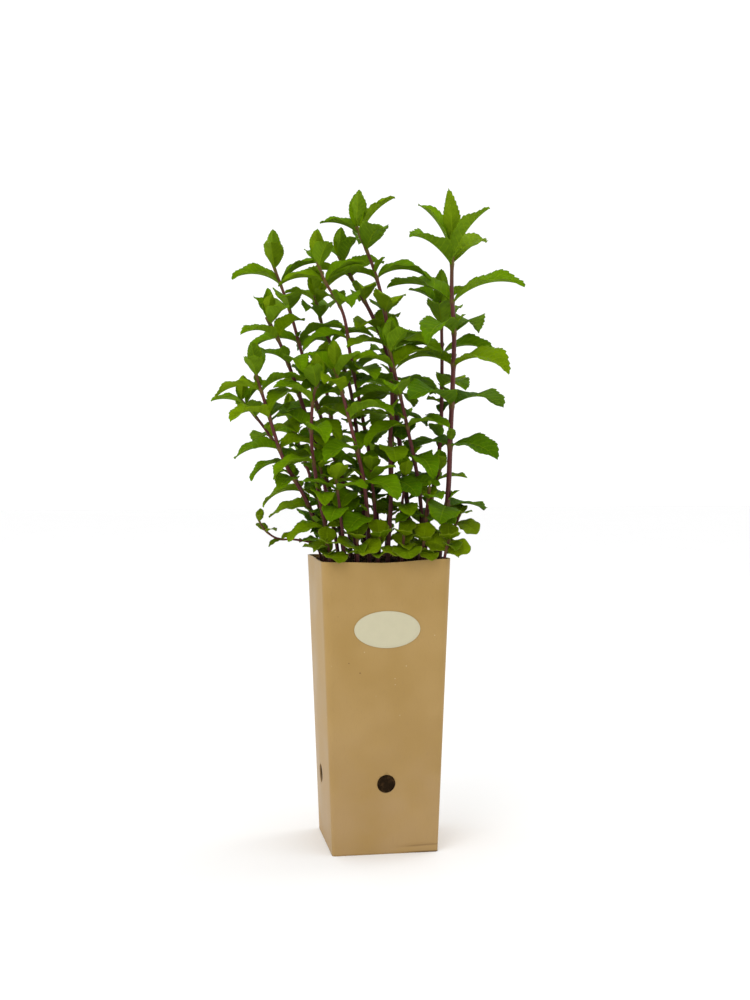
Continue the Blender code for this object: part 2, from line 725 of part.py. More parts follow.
def build_soil(plan, parts, cutters):
    """The soil that fills the pot, with a plain hole for each stem."""
    inset = CARD + SOIL_SIDE_GAP
    rings = [pot_ring(z, inset) for z in SOIL_LEVELS]

    def lumpy(x, y):
        mound = SOIL_MOUND * (1 - (x * x + y * y) / RIM_HALF_WIDTH ** 2)
        lumps = math.sin(x * 310 + 1.3) * math.cos(y * 270) + 0.6 * math.sin(x * 530 - y * 410)
        return SOIL_LEVEL + mound + SOIL_LUMP * lumps

    brim = pot_ring(SOIL_LEVELS[-1], inset)
    for share in SOIL_RINGS:
        rings.append([Vector((p.x * share, p.y * share, lumpy(p.x * share, p.y * share))) for p in brim])
    points, faces = loft(rings)
    count = len(brim)
    faces.append(tuple(reversed(range(count))))
    last = len(points) - count
    points.append(Vector((0, 0, lumpy(0, 0))))
    for i in range(count):
        faces.append((last + i, last + (i + 1) % count, len(points) - 1))
    soil = add_object("soil", points, faces, parts, material("soil"))
    triangles = bmesh.new()
    triangles.from_mesh(soil.data)
    bmesh.ops.triangulate(triangles, faces=triangles.faces[:])
    triangles.to_mesh(soil.data)
    triangles.free()

    def stem_holes(builder):
        for stem in plan.values():
            radius = stem["girth"] * math.sqrt(2) / math.cos(math.pi / HOLE_SIDES) + HOLE_CLEARANCE
            depth = ROOT_DEPTH + SEAT_GAP
            tall = depth + HOLE_TOOL_ABOVE_SOIL
            place = Matrix.Translation((*stem["foot"], SOIL_LEVEL - depth + tall / 2))
            bmesh.ops.create_cone(builder, cap_ends=True, segments=HOLE_SIDES, radius1=radius,
                                  radius2=radius, depth=tall, matrix=place)

    cut(soil, add_cutter("stem_holes", stem_holes, cutters))


def build():
    for old in list(bpy.data.objects):
        bpy.data.objects.remove(old)
    parts = bpy.data.collections.new("potted_calamint")
    cutters = bpy.data.collections.new("cutters")
    for collection in (parts, cutters):
        bpy.context.scene.collection.children.link(collection)
    plan = plant_plan()
    build_pot(parts, cutters)
    build_label(parts)
    build_soil(plan, parts, cutters)
    stem_surface = material("stem")
    grown = material("leaf")
    young = material("young_leaf")
    for name, stem in plan.items():
        build_stem(name, stem, parts, stem_surface, young if name in SHOOTS or name in RUNNERS else grown)


build()
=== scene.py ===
"""The looks of a bushy herb in a tall card pot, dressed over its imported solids: metres, +Z up.

It follows the order in which the real thing is put together: the card pot, its oval label, the
soil, and then the stems that stand in the soil with their pairs of leaves.
"""
import itertools
import math
import random

import bmesh
import bpy
import numpy as np
from mathutils import Matrix, Vector, noise
from mathutils.bvhtree import BVHTree


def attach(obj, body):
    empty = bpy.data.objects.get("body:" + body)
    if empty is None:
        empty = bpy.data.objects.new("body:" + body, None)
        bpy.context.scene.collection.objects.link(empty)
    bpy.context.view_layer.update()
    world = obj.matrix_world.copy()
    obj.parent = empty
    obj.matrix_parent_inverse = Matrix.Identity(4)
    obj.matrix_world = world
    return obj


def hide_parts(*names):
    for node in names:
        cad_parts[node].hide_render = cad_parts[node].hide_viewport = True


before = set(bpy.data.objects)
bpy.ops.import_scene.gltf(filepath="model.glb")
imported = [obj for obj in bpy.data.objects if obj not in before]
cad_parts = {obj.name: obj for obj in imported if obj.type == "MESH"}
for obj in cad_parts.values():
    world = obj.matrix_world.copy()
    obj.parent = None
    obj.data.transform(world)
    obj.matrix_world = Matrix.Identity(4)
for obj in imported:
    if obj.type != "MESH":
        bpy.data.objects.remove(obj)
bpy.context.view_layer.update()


# Card pot
# One sheet of coated brown card, folded into a tapering square pot and glued down along the back
# wall. The soil bows its walls out, each has a punched drain hole, and the rim is a little wavy.
POT_HEIGHT = 0.200
RIM_HALF_WIDTH = 0.0443
BASE_HALF_WIDTH = 0.0365
CARD = 0.0010
WALL_BOW = 0.0014
RIM_CORNER = 0.0070
BASE_CORNER = 0.0022
LEAST_CORNER = 0.0005
QUARTER_TURN = math.pi / 2
WALL_STEPS = 26
CORNER_STEPS = 8
LEVEL_GAP = 0.0036
CREASE_LEVELS = (0.0012, 0.0024, 0.0048, 0.0060, 0.0084)
RIM_LEVEL_GAP = 0.0012
BASE_SHARES = (0.97, 0.80, 0.55, 0.30, 0.12)
RIM_ROUNDS = ((0.00, 0.06), (0.25, 0.0), (0.75, 0.0), (1.00, 0.06))
RIM_ROUND = 0.0001
RIM_WAVE = 0.0006
RIM_WAVE_DEPTH = 0.016
RIM_WAVES = ((1.0, 2, 0.9), (0.6, 5, 0.4))
RIM_PULL = 0.0019
RIM_PULL_ANGLE = math.radians(-42)
RIM_PULL_REACH = math.radians(30)
RIM_PULL_DEPTH = 0.055
DRAIN_RADIUS = 0.0063
DRAIN_HEIGHT = 0.0487
DRAIN_SIDES = 48
LAP_STEP = 0.0004
LAP_PLACE = -0.545
LAP_SOFTNESS = 0.010
LAP_EDGE = 0.0187
LAP_SLOPE = 0.0082
PALER_LOW_TOP = 0.150
DENT_DEPTH = 0.0004
DENT_WAVES = ((37, 2.1, 1.7), (61, 1.0, -2.6))
BASE_HOLD = 0.02
CREASE_DEPTH = 0.00065
CREASE_HEIGHT = 0.0042
CREASE_RISE = 0.0012
CREASE_WIDTH = 0.0009
CARD_BROWN = (0.342, 0.215, 0.069, 1.0)
CARD_PALE = (0.378, 0.244, 0.089, 1.0)
CARD_RAW = (0.25, 0.155, 0.07, 1.0)
CARD_PALER_LOW = (0.352, 0.234, 0.136, 1.0)
# Painted shade at the foot of the front wall; also the colour of the raw edge where the lap ends.
CARD_SHADE_AND_RAW_EDGE = (0.10, 0.055, 0.025, 1.0)
SPECK_DARK = (0.13, 0.07, 0.03, 1.0)
SPECK_PALE = (0.60, 0.50, 0.30, 1.0)
CARD_SPECKS = ((120.0, 0.085, SPECK_DARK, 0.75), (145.0, 0.075, SPECK_PALE, 0.6))
SPECKLESS_SHARE = 0.74
FIBRE_AMOUNT = 0.26
PALER_LOW_AMOUNT = 0.55
PAINTED_SHADE_AMOUNT = 0.75
SEAM_AMOUNT = 0.65
WALL_SURE = 0.9
# Painted shade in the bottom crease and a painted shadow at the foot of the front wall, on its right.
CREASE_SHADE_LINE = (0.0008, 0.0001)
FOOT_SHADOW_HEIGHTS = (0.0016, 0.0003)
PAINTED_SHADE_PLACES = (0.006, 0.028)
SEAM_LINE = (0.0006, 0.0002)
BACK, FRONT = 1, 3


def smooth_step(low, high, value):
    """0 under low, 1 over high, and an even rise between them, for numbers or arrays."""
    share = np.clip((np.asarray(value, float) - low) / (high - low), 0.0, 1.0)
    return share * share * (3 - 2 * share)


def wall_half_width(z):
    return BASE_HALF_WIDTH + (RIM_HALF_WIDTH - BASE_HALF_WIDTH) * z / POT_HEIGHT


def wall_bow(z):
    """How far the soil pushes the middle of a wall out."""
    share = z / POT_HEIGHT
    return WALL_BOW * 4 * share * (1 - share)


def wall_unevenness(side, station, z):
    """What handling, glue and folds add to a wall's even bow, outwards, in metres."""
    hold = (1 - station ** 2) * min(z / BASE_HOLD, 1.0)
    swell = math.prod(math.sin(rate * z + lag * side + drift * station) for rate, lag, drift in DENT_WAVES)
    out = DENT_DEPTH * swell * hold
    if side == BACK:
        out += LAP_STEP * float(smooth_step(LAP_PLACE - LAP_SOFTNESS, LAP_PLACE + LAP_SOFTNESS, station))
        out -= LAP_STEP * float(smooth_step(0.90, 1.0, station))
    if side == FRONT:
        crease = CREASE_HEIGHT + CREASE_RISE * station
        fade = float(smooth_step(0.05, 0.60, station))
        out -= CREASE_DEPTH * fade * math.exp(-((z - crease) / CREASE_WIDTH) ** 2)
        out += 0.5 * CREASE_DEPTH * fade * math.exp(-((z - crease - 2 * CREASE_WIDTH) / CREASE_WIDTH) ** 2)
    return out


def rim_lift(angle):
    """How far the hand-folded rim rises and dips round the pot, under its greatest rise."""
    rise = sum(share * math.sin(turns * angle + start) for share, turns, start in RIM_WAVES)
    return RIM_WAVE * (rise / sum(wave[0] for wave in RIM_WAVES) - 1)


def corner_pull(angle):
    """How far the rim's front right corner stands above the rest."""
    return RIM_PULL * math.exp(-((angle - RIM_PULL_ANGLE) / RIM_PULL_REACH) ** 2)


def pot_ring(z, inset=0.0, wall_steps=WALL_STEPS, corner_steps=CORNER_STEPS, uneven=True):
    """The pot's outline at a height: four bowed walls and four round corners."""
    half = wall_half_width(z) - inset
    corner = max(BASE_CORNER + (RIM_CORNER - BASE_CORNER) * z / POT_HEIGHT - inset, LEAST_CORNER)
    flat = half - corner
    ring = []
    for side in range(4):
        angle = side * QUARTER_TURN
        normal = Vector((math.cos(angle), math.sin(angle), 0))
        along = Vector((-math.sin(angle), math.cos(angle), 0))
        stations = [2 * step / wall_steps - 1 for step in range(1, wall_steps)]
        if uneven and side == BACK:
            stations = sorted(stations + [LAP_PLACE - LAP_SOFTNESS, LAP_PLACE + LAP_SOFTNESS])
        for station in stations:
            bulge = wall_bow(z) * (1 - station ** 2)
            if uneven:
                bulge += wall_unevenness(side, station, z)
            ring.append(normal * (half + bulge) + along * (station * flat))
        for step in range(corner_steps + 1):
            turn = step * QUARTER_TURN / corner_steps
            outward = normal * math.cos(turn) + along * math.sin(turn)
            ring.append((normal + along) * flat + outward * corner)
    if not uneven:
        return [Vector((point.x, point.y, z)) for point in ring]
    wave = float(smooth_step(POT_HEIGHT - RIM_WAVE_DEPTH, POT_HEIGHT, z))
    pull = float(smooth_step(POT_HEIGHT - RIM_PULL_DEPTH, POT_HEIGHT, z))
    placed = []
    for point in ring:
        angle = math.atan2(point.y, point.x)
        placed.append(Vector((point.x, point.y, z + wave * rim_lift(angle) + pull * corner_pull(angle))))
    return placed


def loft(rings):
    """Points and side faces of a stack of closed rings of equal counts."""
    count = len(rings[0])
    points = [point for ring in rings for point in ring]
    faces = []
    for level in range(len(rings) - 1):
        low, high = level * count, (level + 1) * count
        for i in range(count):
            j = (i + 1) % count
            faces.append((low + i, low + j, high + j, high + i))
    return points, faces


def fan_cap(points, faces, first, count, centre, along_ring):
    """Close one ring of a loft with a fan round a middle point, wound along the ring or against it."""
    points.append(centre)
    middle = len(points) - 1
    for i in range(count):
        a, b = first + i, first + (i + 1) % count
        faces.append((a, b, middle) if along_ring else (b, a, middle))


def add_piece(name, points, faces, surfaces, face_surfaces=None, smooth=None, values=None, map_places=None):
    """A mesh piece with its materials, point values that they read, and a map of its surface."""
    mesh = bpy.data.meshes.new(name)
    mesh.from_pydata([tuple(point) for point in points], [], faces)
    for surface in surfaces:
        mesh.materials.append(surface)
    if face_surfaces is not None:
        mesh.polygons.foreach_set("material_index", np.asarray(face_surfaces, np.int32))
    shaded = np.ones(len(mesh.polygons), bool) if smooth is None else np.asarray(smooth, bool)
    mesh.polygons.foreach_set("use_smooth", shaded)
    for value_name, numbers in (values or {}).items():
        layer = mesh.attributes.new(value_name, "FLOAT", "POINT")
        layer.data.foreach_set("value", np.asarray(numbers, np.float32))
    if map_places is not None:
        corner_points = np.empty(len(mesh.loops), np.int32)
        mesh.loops.foreach_get("vertex_index", corner_points)
        layer = mesh.uv_layers.new(name="surface_map")
        layer.data.foreach_set("uv", np.asarray(map_places, np.float32)[corner_points].ravel())
    mesh.update()
    piece = bpy.data.objects.new(name, mesh)
    bpy.context.scene.collection.objects.link(piece)
    return piece


class NodeWork:
    """The usual nodes in short form, in the tree of one material or node group."""

    def __init__(self, tree):
        self.nodes, self.links = tree.nodes, tree.links

    def feed(self, socket, value):
        """Join a socket to another one, or set it to a plain number or colour."""
        if isinstance(value, bpy.types.NodeSocket):
            self.links.new(value, socket)
        else:
            socket.default_value = value

    def blend(self, share, first, second):
        """The first colour at share 0, the second one at share 1."""
        mix = self.nodes.new("ShaderNodeMix")
        mix.data_type = "RGBA"
        for place, value in ((0, share), (6, first), (7, second)):
            self.feed(mix.inputs[place], value)
        return mix.outputs[2]

    def reckon(self, operation, *values, limit=False):
        """One sum on numbers or number sockets."""
        node = self.nodes.new("ShaderNodeMath")
        node.operation = operation
        node.use_clamp = limit
        for socket, value in zip(node.inputs, values):
            self.feed(socket, value)
        return node.outputs[0]

    def times(self, first, second):
        return self.reckon("MULTIPLY", first, second)

    def span(self, value, low, high):
        """A smooth 0 to 1 as a number socket goes from low to high."""
        node = self.nodes.new("ShaderNodeMapRange")
        node.interpolation_type = "SMOOTHSTEP"
        for name, number in (("Value", value), ("From Min", low), ("From Max", high)):
            self.feed(node.inputs[name], number)
        return node.outputs["Result"]

    def line(self, value, middle, reach, core):
        """1 where a number socket is within the core of a middle, and 0 beyond the reach."""
        return self.span(self.reckon("ABSOLUTE", self.reckon("SUBTRACT", value, middle)), reach, core)

    def axes(self, vector):
        """The X, Y and Z of a vector socket."""
        node = self.nodes.new("ShaderNodeSeparateXYZ")
        self.feed(node.inputs["Vector"], vector)
        return node.outputs

    def stretched(self, vector, scale):
        """A vector socket with its own scale along each axis."""
        node = self.nodes.new("ShaderNodeMapping")
        node.inputs["Scale"].default_value = scale
        self.feed(node.inputs["Vector"], vector)
        return node.outputs["Vector"]


class Surface(NodeWork):
    """A material, with its shader's inputs and the place on the object that its textures read."""

    def __init__(self, name, roughness, specular=0.5):
        self.material = bpy.data.materials.new(name)
        self.material.use_nodes = True
        super().__init__(self.material.node_tree)
        self.inputs = self.nodes["Principled BSDF"].inputs
        self.inputs["Roughness"].default_value = roughness
        self.inputs["Metallic"].default_value = 0.0
        self.inputs["Specular IOR Level"].default_value = specular
        self.place = self.nodes.new("ShaderNodeTexCoord").outputs["Object"]

    def noise(self, scale, detail=3.0, stretch=None):
        """A noise about 0.5 over the place, with an optional stretch along the axes."""
        texture = self.nodes.new("ShaderNodeTexNoise")
        texture.inputs["Scale"].default_value = scale
        texture.inputs["Detail"].default_value = detail
        self.feed(texture.inputs["Vector"], self.stretched(self.place, stretch) if stretch else self.place)
        return texture.outputs["Fac"]

    def value(self, name):
        """A point value of the mesh."""
        reader = self.nodes.new("ShaderNodeAttribute")
        reader.attribute_name = name
        return reader.outputs["Fac"]

    def mottled(self, colour, scale, depth):
        """The colour and height outputs of the mottle group with its own values."""
        patch = self.nodes.new("ShaderNodeGroup")
        patch.node_tree = mottle
        for name, value in (("Colour", colour), ("Place", self.place), ("Patch Scale", scale),
                            ("Depth", depth)):
            self.feed(patch.inputs[name], value)
        return patch.outputs["Colour"], patch.outputs["Height"]

    def finish(self, colour, height, distance, strength=1.0):
        """Give the shader its colour, and let a height socket raise and sink its surface."""
        bump = self.nodes.new("ShaderNodeBump")
        bump.inputs["Strength"].default_value = strength
        bump.inputs["Distance"].default_value = distance
        self.feed(bump.inputs["Height"], height)
        self.feed(self.inputs["Normal"], bump.outputs["Normal"])
        self.feed(self.inputs["Base Color"], colour)
        return self.material


def mottle_group():
    """Shared by card, label, soil, stems and leaves: patches of paler and darker tone in a colour."""
    group = bpy.data.node_groups.new("mottle", "ShaderNodeTree")
    for in_out, name, kind in (("INPUT", "Colour", "Color"), ("INPUT", "Place", "Vector"),
                               ("INPUT", "Patch Scale", "Float"), ("INPUT", "Depth", "Float"),
                               ("OUTPUT", "Colour", "Color"), ("OUTPUT", "Height", "Float")):
        group.interface.new_socket(name=name, in_out=in_out, socket_type="NodeSocket" + kind)
    work = NodeWork(group)
    taken = work.nodes.new("NodeGroupInput").outputs
    given = work.nodes.new("NodeGroupOutput").inputs
    texture = work.nodes.new("ShaderNodeTexNoise")
    texture.inputs["Detail"].default_value = 4.0
    texture.inputs["Roughness"].default_value = 0.6
    work.feed(texture.inputs["Vector"], taken["Place"])
    work.feed(texture.inputs["Scale"], taken["Patch Scale"])
    offset = work.reckon("SUBTRACT", texture.outputs["Fac"], 0.5)
    tone = work.nodes.new("ShaderNodeVectorMath")
    tone.operation = "SCALE"
    work.feed(tone.inputs[0], taken["Colour"])
    work.feed(tone.inputs["Scale"], work.reckon("MULTIPLY_ADD", offset, taken["Depth"], 1.0))
    work.feed(given["Colour"], tone.outputs["Vector"])
    work.feed(given["Height"], texture.outputs["Fac"])
    return group


mottle = mottle_group()


def card_surface():
    """Coated brown card: soft patches, fibres, specks, painted shade at its foot, and a line where the lap
    ends.
    """
    card = Surface("coated_card", roughness=0.42, specular=0.12)
    patches = card.span(card.noise(scale=22.0, detail=2.0), 0.35, 0.68)
    colour = card.blend(patches, CARD_BROWN, CARD_PALE)
    fibres = card.noise(scale=1.0, detail=4.0, stretch=(1900.0, 1900.0, 260.0))
    colour = card.blend(card.times(card.span(fibres, 0.52, 0.80), FIBRE_AMOUNT), colour, CARD_RAW)
    for scale, reach, tint, amount in CARD_SPECKS:
        cells = card.nodes.new("ShaderNodeTexVoronoi")
        cells.inputs["Scale"].default_value = scale
        card.feed(cells.inputs["Vector"], card.place)
        near = card.span(cells.outputs["Distance"], reach, reach * 0.4)
        chosen = card.reckon("GREATER_THAN", cells.outputs["Color"], SPECKLESS_SHARE)
        colour = card.blend(card.times(near, card.times(chosen, amount)), colour, tint)
    x, y, z = card.axes(card.place)
    # Paler, greyer patches, stronger towards the bottom of the walls.
    paler_low = card.times(card.span(z, PALER_LOW_TOP, 0.0), card.noise(scale=48.0))
    colour = card.blend(card.times(paler_low, PALER_LOW_AMOUNT), colour, CARD_PALER_LOW)
    # Painted shade in the bottom crease and a painted shadow along the foot of the front wall, on its right
    # part.
    crease = card.reckon("MULTIPLY_ADD", x, CREASE_RISE / BASE_HALF_WIDTH, CREASE_HEIGHT)
    fold = card.times(card.line(z, crease, *CREASE_SHADE_LINE), 0.5)
    painted_shade = card.reckon("MAXIMUM", fold, card.span(z, *FOOT_SHADOW_HEIGHTS))
    front = card.reckon("LESS_THAN", y, -WALL_SURE * BASE_HALF_WIDTH)
    painted_shade = card.times(painted_shade, card.times(card.span(x, *PAINTED_SHADE_PLACES), front))
    colour = card.blend(card.times(painted_shade, PAINTED_SHADE_AMOUNT), colour, CARD_SHADE_AND_RAW_EDGE)
    lap_edge = card.reckon("MULTIPLY_ADD", z, LAP_SLOPE, LAP_EDGE)
    back = card.reckon("GREATER_THAN", y, WALL_SURE * BASE_HALF_WIDTH)
    seam = card.times(card.line(x, lap_edge, *SEAM_LINE), back)
    colour = card.blend(card.times(seam, SEAM_AMOUNT), colour, CARD_SHADE_AND_RAW_EDGE)
    card.feed(card.inputs["Roughness"], card.reckon("MULTIPLY_ADD", patches, 0.10, 0.38))
    return card.finish(colour, fibres, distance=0.00003, strength=0.5)


def raw_card_surface():
    """The unbleached pulp that shows where the card is cut."""
    raw = Surface("raw_card_edge", roughness=0.85)
    colour, height = raw.mottled(CARD_RAW, scale=1500.0, depth=0.9)
    return raw.finish(colour, height, distance=0.0001)


def flat_ring(ring, share, z):
    """A ring drawn in to a share of its width and laid level."""
    return [Vector((point.x * share, point.y * share, z)) for point in ring]


def card_pot_rings():
    """Rings from under the floor, up the outside, over the rim and down to the floor inside."""
    levels = np.linspace(0.0, POT_HEIGHT, int(POT_HEIGHT / LEVEL_GAP) + 1)
    levels = sorted(set(levels) | set(CREASE_LEVELS) | {POT_HEIGHT - RIM_LEVEL_GAP})
    rings = [flat_ring(pot_ring(0.0), share, 0.0) for share in reversed(BASE_SHARES)]
    rings += [pot_ring(z) for z in levels]
    for share, drop in RIM_ROUNDS:
        ring = pot_ring(POT_HEIGHT, CARD * share)
        rings.append([Vector((point.x, point.y, point.z + RIM_ROUND - drop * CARD)) for point in ring])
    rings += [pot_ring(z, CARD) for z in reversed(levels) if z > CARD]
    rings += [flat_ring(pot_ring(CARD, CARD), share, CARD) for share in (1.0,) + BASE_SHARES]
    return rings


def tool_from(builder, mesh):
    """A cutting object of what a builder holds."""
    builder.to_mesh(mesh)
    builder.free()
    tool = bpy.data.objects.new(mesh.name, mesh)
    bpy.context.scene.collection.objects.link(tool)
    return tool


def drain_hole_tool(axis):
    """A rod through two opposite walls."""
    mesh = bpy.data.meshes.new("drain_tool_" + axis)
    builder = bmesh.new()
    place = Matrix.Translation((0, 0, DRAIN_HEIGHT)) @ Matrix.Rotation(QUARTER_TURN, 4, axis)
    bmesh.ops.create_cone(builder, cap_ends=True, segments=DRAIN_SIDES, radius1=DRAIN_RADIUS,
                          radius2=DRAIN_RADIUS, depth=4 * BASE_HALF_WIDTH, matrix=place)
    return tool_from(builder, mesh)


def cut_with(piece, tools, surface):
    """Take each tool's shape out of a piece for good, with the tools' surface on the cut faces."""
    for tool in tools:
        tool.data.materials.append(surface)
        modifier = piece.modifiers.new(tool.name, "BOOLEAN")
        modifier.operation = "DIFFERENCE"
        modifier.object = tool
        modifier.solver = "EXACT"
        modifier.material_mode = "TRANSFER"
    depsgraph = bpy.context.evaluated_depsgraph_get()
    finished = bpy.data.meshes.new_from_object(piece.evaluated_get(depsgraph))
    piece.modifiers.clear()
    piece.data = finished
    for tool in tools:
        bpy.data.objects.remove(tool)


def make_card_pot():
    rings = card_pot_rings()
    points, faces = loft(rings)
    count = len(rings[0])
    fan_cap(points, faces, 0, count, Vector((0, 0, 0)), False)
    fan_cap(points, faces, len(points) - 1 - count, count, Vector((0, 0, CARD)), True)
    card, raw = card_surface(), raw_card_surface()
    pot = add_piece("folded_card_pot", points, faces, [card])
    cut_with(pot, [drain_hole_tool("X"), drain_hole_tool("Y")], raw)
    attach(pot, "root")
    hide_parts("card_pot")


make_card_pot()


# Oval label
# A thin cream paper sticker pressed on the front wall. It follows the wall's bow, its die-cut
# edge is slightly rounded, and it is left bare.
LABEL_HALF_WIDTH = 0.0225
LABEL_HALF_HEIGHT = 0.0125
LABEL_HEIGHT = 0.1541
LABEL_RINGS = ((1.0, 0.0), (0.9985, 0.6), (0.988, 1.0), (0.80, 1.0), (0.55, 1.0), (0.28, 1.0))
LABEL_THICKNESS = 0.00022
LABEL_STICKS_OUT = 0.0003
LABEL_BACK_OUT = 0.2 * LABEL_STICKS_OUT
LABEL_SIDES = 96
LABEL_CREAM = (0.492, 0.455, 0.305, 1.0)
LABEL_FIBRE = (0.44, 0.39, 0.25, 1.0)


def front_wall_point(x, z, proud):
    """A point over the front wall, its bow and its unevenness taken along."""
    corner = BASE_CORNER + (RIM_CORNER - BASE_CORNER) * z / POT_HEIGHT
    station = x / (wall_half_width(z) - corner)
    bulge = wall_bow(z) * (1 - station ** 2) + wall_unevenness(FRONT, station, z)
    return Vector((x, -(wall_half_width(z) + bulge + proud), z))


def label_surface():
    label = Surface("cream_label_paper", roughness=0.5)
    colour, height = label.mottled(LABEL_CREAM, scale=160.0, depth=0.10)
    fine = label.noise(scale=1400.0)
    colour = label.blend(label.times(label.span(fine, 0.5, 0.85), 0.18), colour, LABEL_FIBRE)
    return label.finish(colour, label.reckon("ADD", height, fine), distance=0.00003, strength=0.6)


def make_label():
    rings = []
    for share, lift in LABEL_RINGS:
        ring = []
        for step in range(LABEL_SIDES):
            angle = 2 * math.pi * step / LABEL_SIDES
            x = LABEL_HALF_WIDTH * share * math.cos(angle)
            z = LABEL_HEIGHT + LABEL_HALF_HEIGHT * share * math.sin(angle)
            ring.append(front_wall_point(x, z, LABEL_STICKS_OUT + LABEL_THICKNESS * lift))
        rings.append(ring)
    back = [front_wall_point(point.x, point.z, LABEL_BACK_OUT) for point in rings[0]]
    points, faces = loft([back] + rings)
    centre = front_wall_point(0.0, LABEL_HEIGHT, LABEL_STICKS_OUT + LABEL_THICKNESS)
    back_centre = front_wall_point(0.0, LABEL_HEIGHT, LABEL_BACK_OUT)
    fan_cap(points, faces, len(points) - LABEL_SIDES, LABEL_SIDES, centre, True)
    fan_cap(points, faces, 0, LABEL_SIDES, back_centre, False)
    label = add_piece("bare_oval_label", points, faces, [label_surface()])
    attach(label, "root")
    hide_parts("oval_label")


make_label()


# Where the stems stand
# Cuttings, set at random in the soil. For each: its foot, the way up to its tip, half its width,
# its leaves' size against full-grown ones, its first pair's turn, and its lowest leaves' height.
STEMS = {
    "leafy_stem_right": (
        (0.0385, -0.029),
        ((0.045, -0.026, 0.240), (0.048, -0.022, 0.288), (0.051, -0.019, 0.350), (0.050, -0.016, 0.384),
         (0.0505, -0.015, 0.413)),
        0.0015, 1.06, 43, 0.024),
    "leafy_stem_front": (
        (0.002, -0.033),
        ((0.005, -0.028, 0.240), (0.006, -0.020, 0.281), (0.009, -0.011, 0.312), (0.007, 0.000, 0.364),
         (-0.001, 0.004, 0.400), (-0.013, 0.008, 0.431)),
        0.0015, 0.96, 85, 0.046),
    "leafy_stem_middle": (
        (0.022, 0.000),
        ((0.023, 0.003, 0.230), (0.017, 0.007, 0.285), (0.012, 0.008, 0.332), (0.000, 0.010, 0.366),
         (-0.014, 0.012, 0.392), (-0.025, 0.012, 0.411)),
        0.0014, 0.84, 40, 0.085),
    "leafy_stem_low_right": (
        (0.030, -0.015),
        ((0.027, -0.017, 0.247), (0.018, -0.020, 0.290), (0.011, -0.024, 0.317), (0.003, -0.029, 0.346)),
        0.0012, 0.80, 15, 0.022),
    "leafy_stem_low_front": (
        (-0.010, -0.030),
        ((-0.013, -0.029, 0.249), (-0.020, -0.028, 0.281), (-0.026, -0.026, 0.306), (-0.033, -0.024, 0.330)),
        0.0012, 0.80, 55, 0.022),
    "leafy_stem_inner": (
        (0.004, 0.013),
        ((-0.001, 0.009, 0.253), (-0.011, 0.001, 0.303), (-0.019, -0.006, 0.337), (-0.025, -0.010, 0.368),
         (-0.038, -0.012, 0.390), (-0.044, -0.013, 0.405)),
        0.0013, 0.82, 5, 0.118),
    "leafy_stem_rear": (
        (-0.004, 0.027),
        ((-0.007, 0.023, 0.253), (-0.014, 0.024, 0.313), (-0.022, 0.026, 0.338), (-0.034, 0.028, 0.362),
         (-0.040, 0.028, 0.385)),
        0.0013, 0.82, 62, 0.118),
    "leafy_stem_left": (
        (-0.016, -0.011),
        ((-0.023, -0.006, 0.245), (-0.035, 0.006, 0.286), (-0.049, 0.016, 0.337), (-0.059, 0.021, 0.374),
         (-0.071, 0.024, 0.408)),
        0.0014, 0.88, -8, 0.044),
    "leafy_stem_left_leaning": (
        (-0.022, 0.008),
        ((-0.030, 0.010, 0.239), (-0.044, 0.004, 0.282), (-0.056, -0.004, 0.316), (-0.067, -0.009, 0.344),
         (-0.078, -0.012, 0.365)),
        0.0013, 0.78, 28, 0.044),
    "leafy_stem_outer_left": (
        (-0.037, -0.006),
        ((-0.050, -0.011, 0.238), (-0.067, -0.017, 0.268), (-0.078, -0.019, 0.301), (-0.087, -0.018, 0.330)),
        0.0013, 0.78, -20, 0.030),
    "leafy_stem_far_left": (
        (-0.031, 0.023),
        ((-0.046, 0.021, 0.237), (-0.061, 0.019, 0.265), (-0.077, 0.016, 0.290), (-0.094, 0.014, 0.310)),
        0.0012, 0.74, 70, 0.030),
    "leafy_stem_front_left": (
        (-0.036, -0.024),
        ((-0.044, -0.026, 0.244), (-0.049, -0.027, 0.278), (-0.048, -0.026, 0.308), (-0.044, -0.026, 0.322)),
        0.0012, 0.76, 12, 0.024),
    "leafy_stem_back_right": (
        (0.037, 0.012),
        ((0.043, 0.013, 0.246), (0.049, 0.016, 0.282), (0.051, 0.020, 0.332), (0.051, 0.023, 0.382)),
        0.0014, 0.92, 60, 0.100),
    "leafy_stem_back_left": (
        (-0.013, 0.036),
        ((-0.018, 0.045, 0.253), (-0.025, 0.056, 0.301), (-0.030, 0.062, 0.335)),
        0.0013, 0.84, 20, 0.078),
    "leafy_stem_back": (
        (0.013, 0.035),
        ((0.018, 0.042, 0.253), (0.021, 0.053, 0.310), (0.021, 0.060, 0.355)),
        0.0013, 0.86, 66, 0.078),
    "leafy_stem_back_corner": (
        (-0.029, 0.037),
        ((-0.038, 0.048, 0.245), (-0.048, 0.058, 0.278), (-0.054, 0.064, 0.298)),
        0.0012, 0.76, -30, 0.060),
}
SHORT_STEMS = {
    "short_stem_front_left": (
        (-0.027, -0.033),
        ((-0.030, -0.036, 0.225), (-0.034, -0.038, 0.256)),
        0.0011, 0.76, 70, 0.030),
    "short_stem_left": (
        (-0.029, -0.014),
        ((-0.036, -0.018, 0.235), (-0.043, -0.024, 0.264)),
        0.0011, 0.70, 25, 0.032),
    "short_stem_front": (
        (-0.003, -0.020),
        ((-0.005, -0.022, 0.232), (-0.008, -0.025, 0.262)),
        0.0011, 0.68, 35, 0.036),
    "short_stem_front_middle": (
        (0.012, -0.020),
        ((0.013, -0.023, 0.230), (0.016, -0.026, 0.258)),
        0.0011, 0.68, 80, 0.030),
    "short_stem_front_right": (
        (0.027, -0.026),
        ((0.029, -0.030, 0.228), (0.031, -0.033, 0.250)),
        0.0011, 0.64, 20, 0.028),
    "short_stem_right": (
        (0.029, 0.000),
        ((0.036, -0.004, 0.232), (0.044, -0.008, 0.262)),
        0.0011, 0.70, 50, 0.030),
}
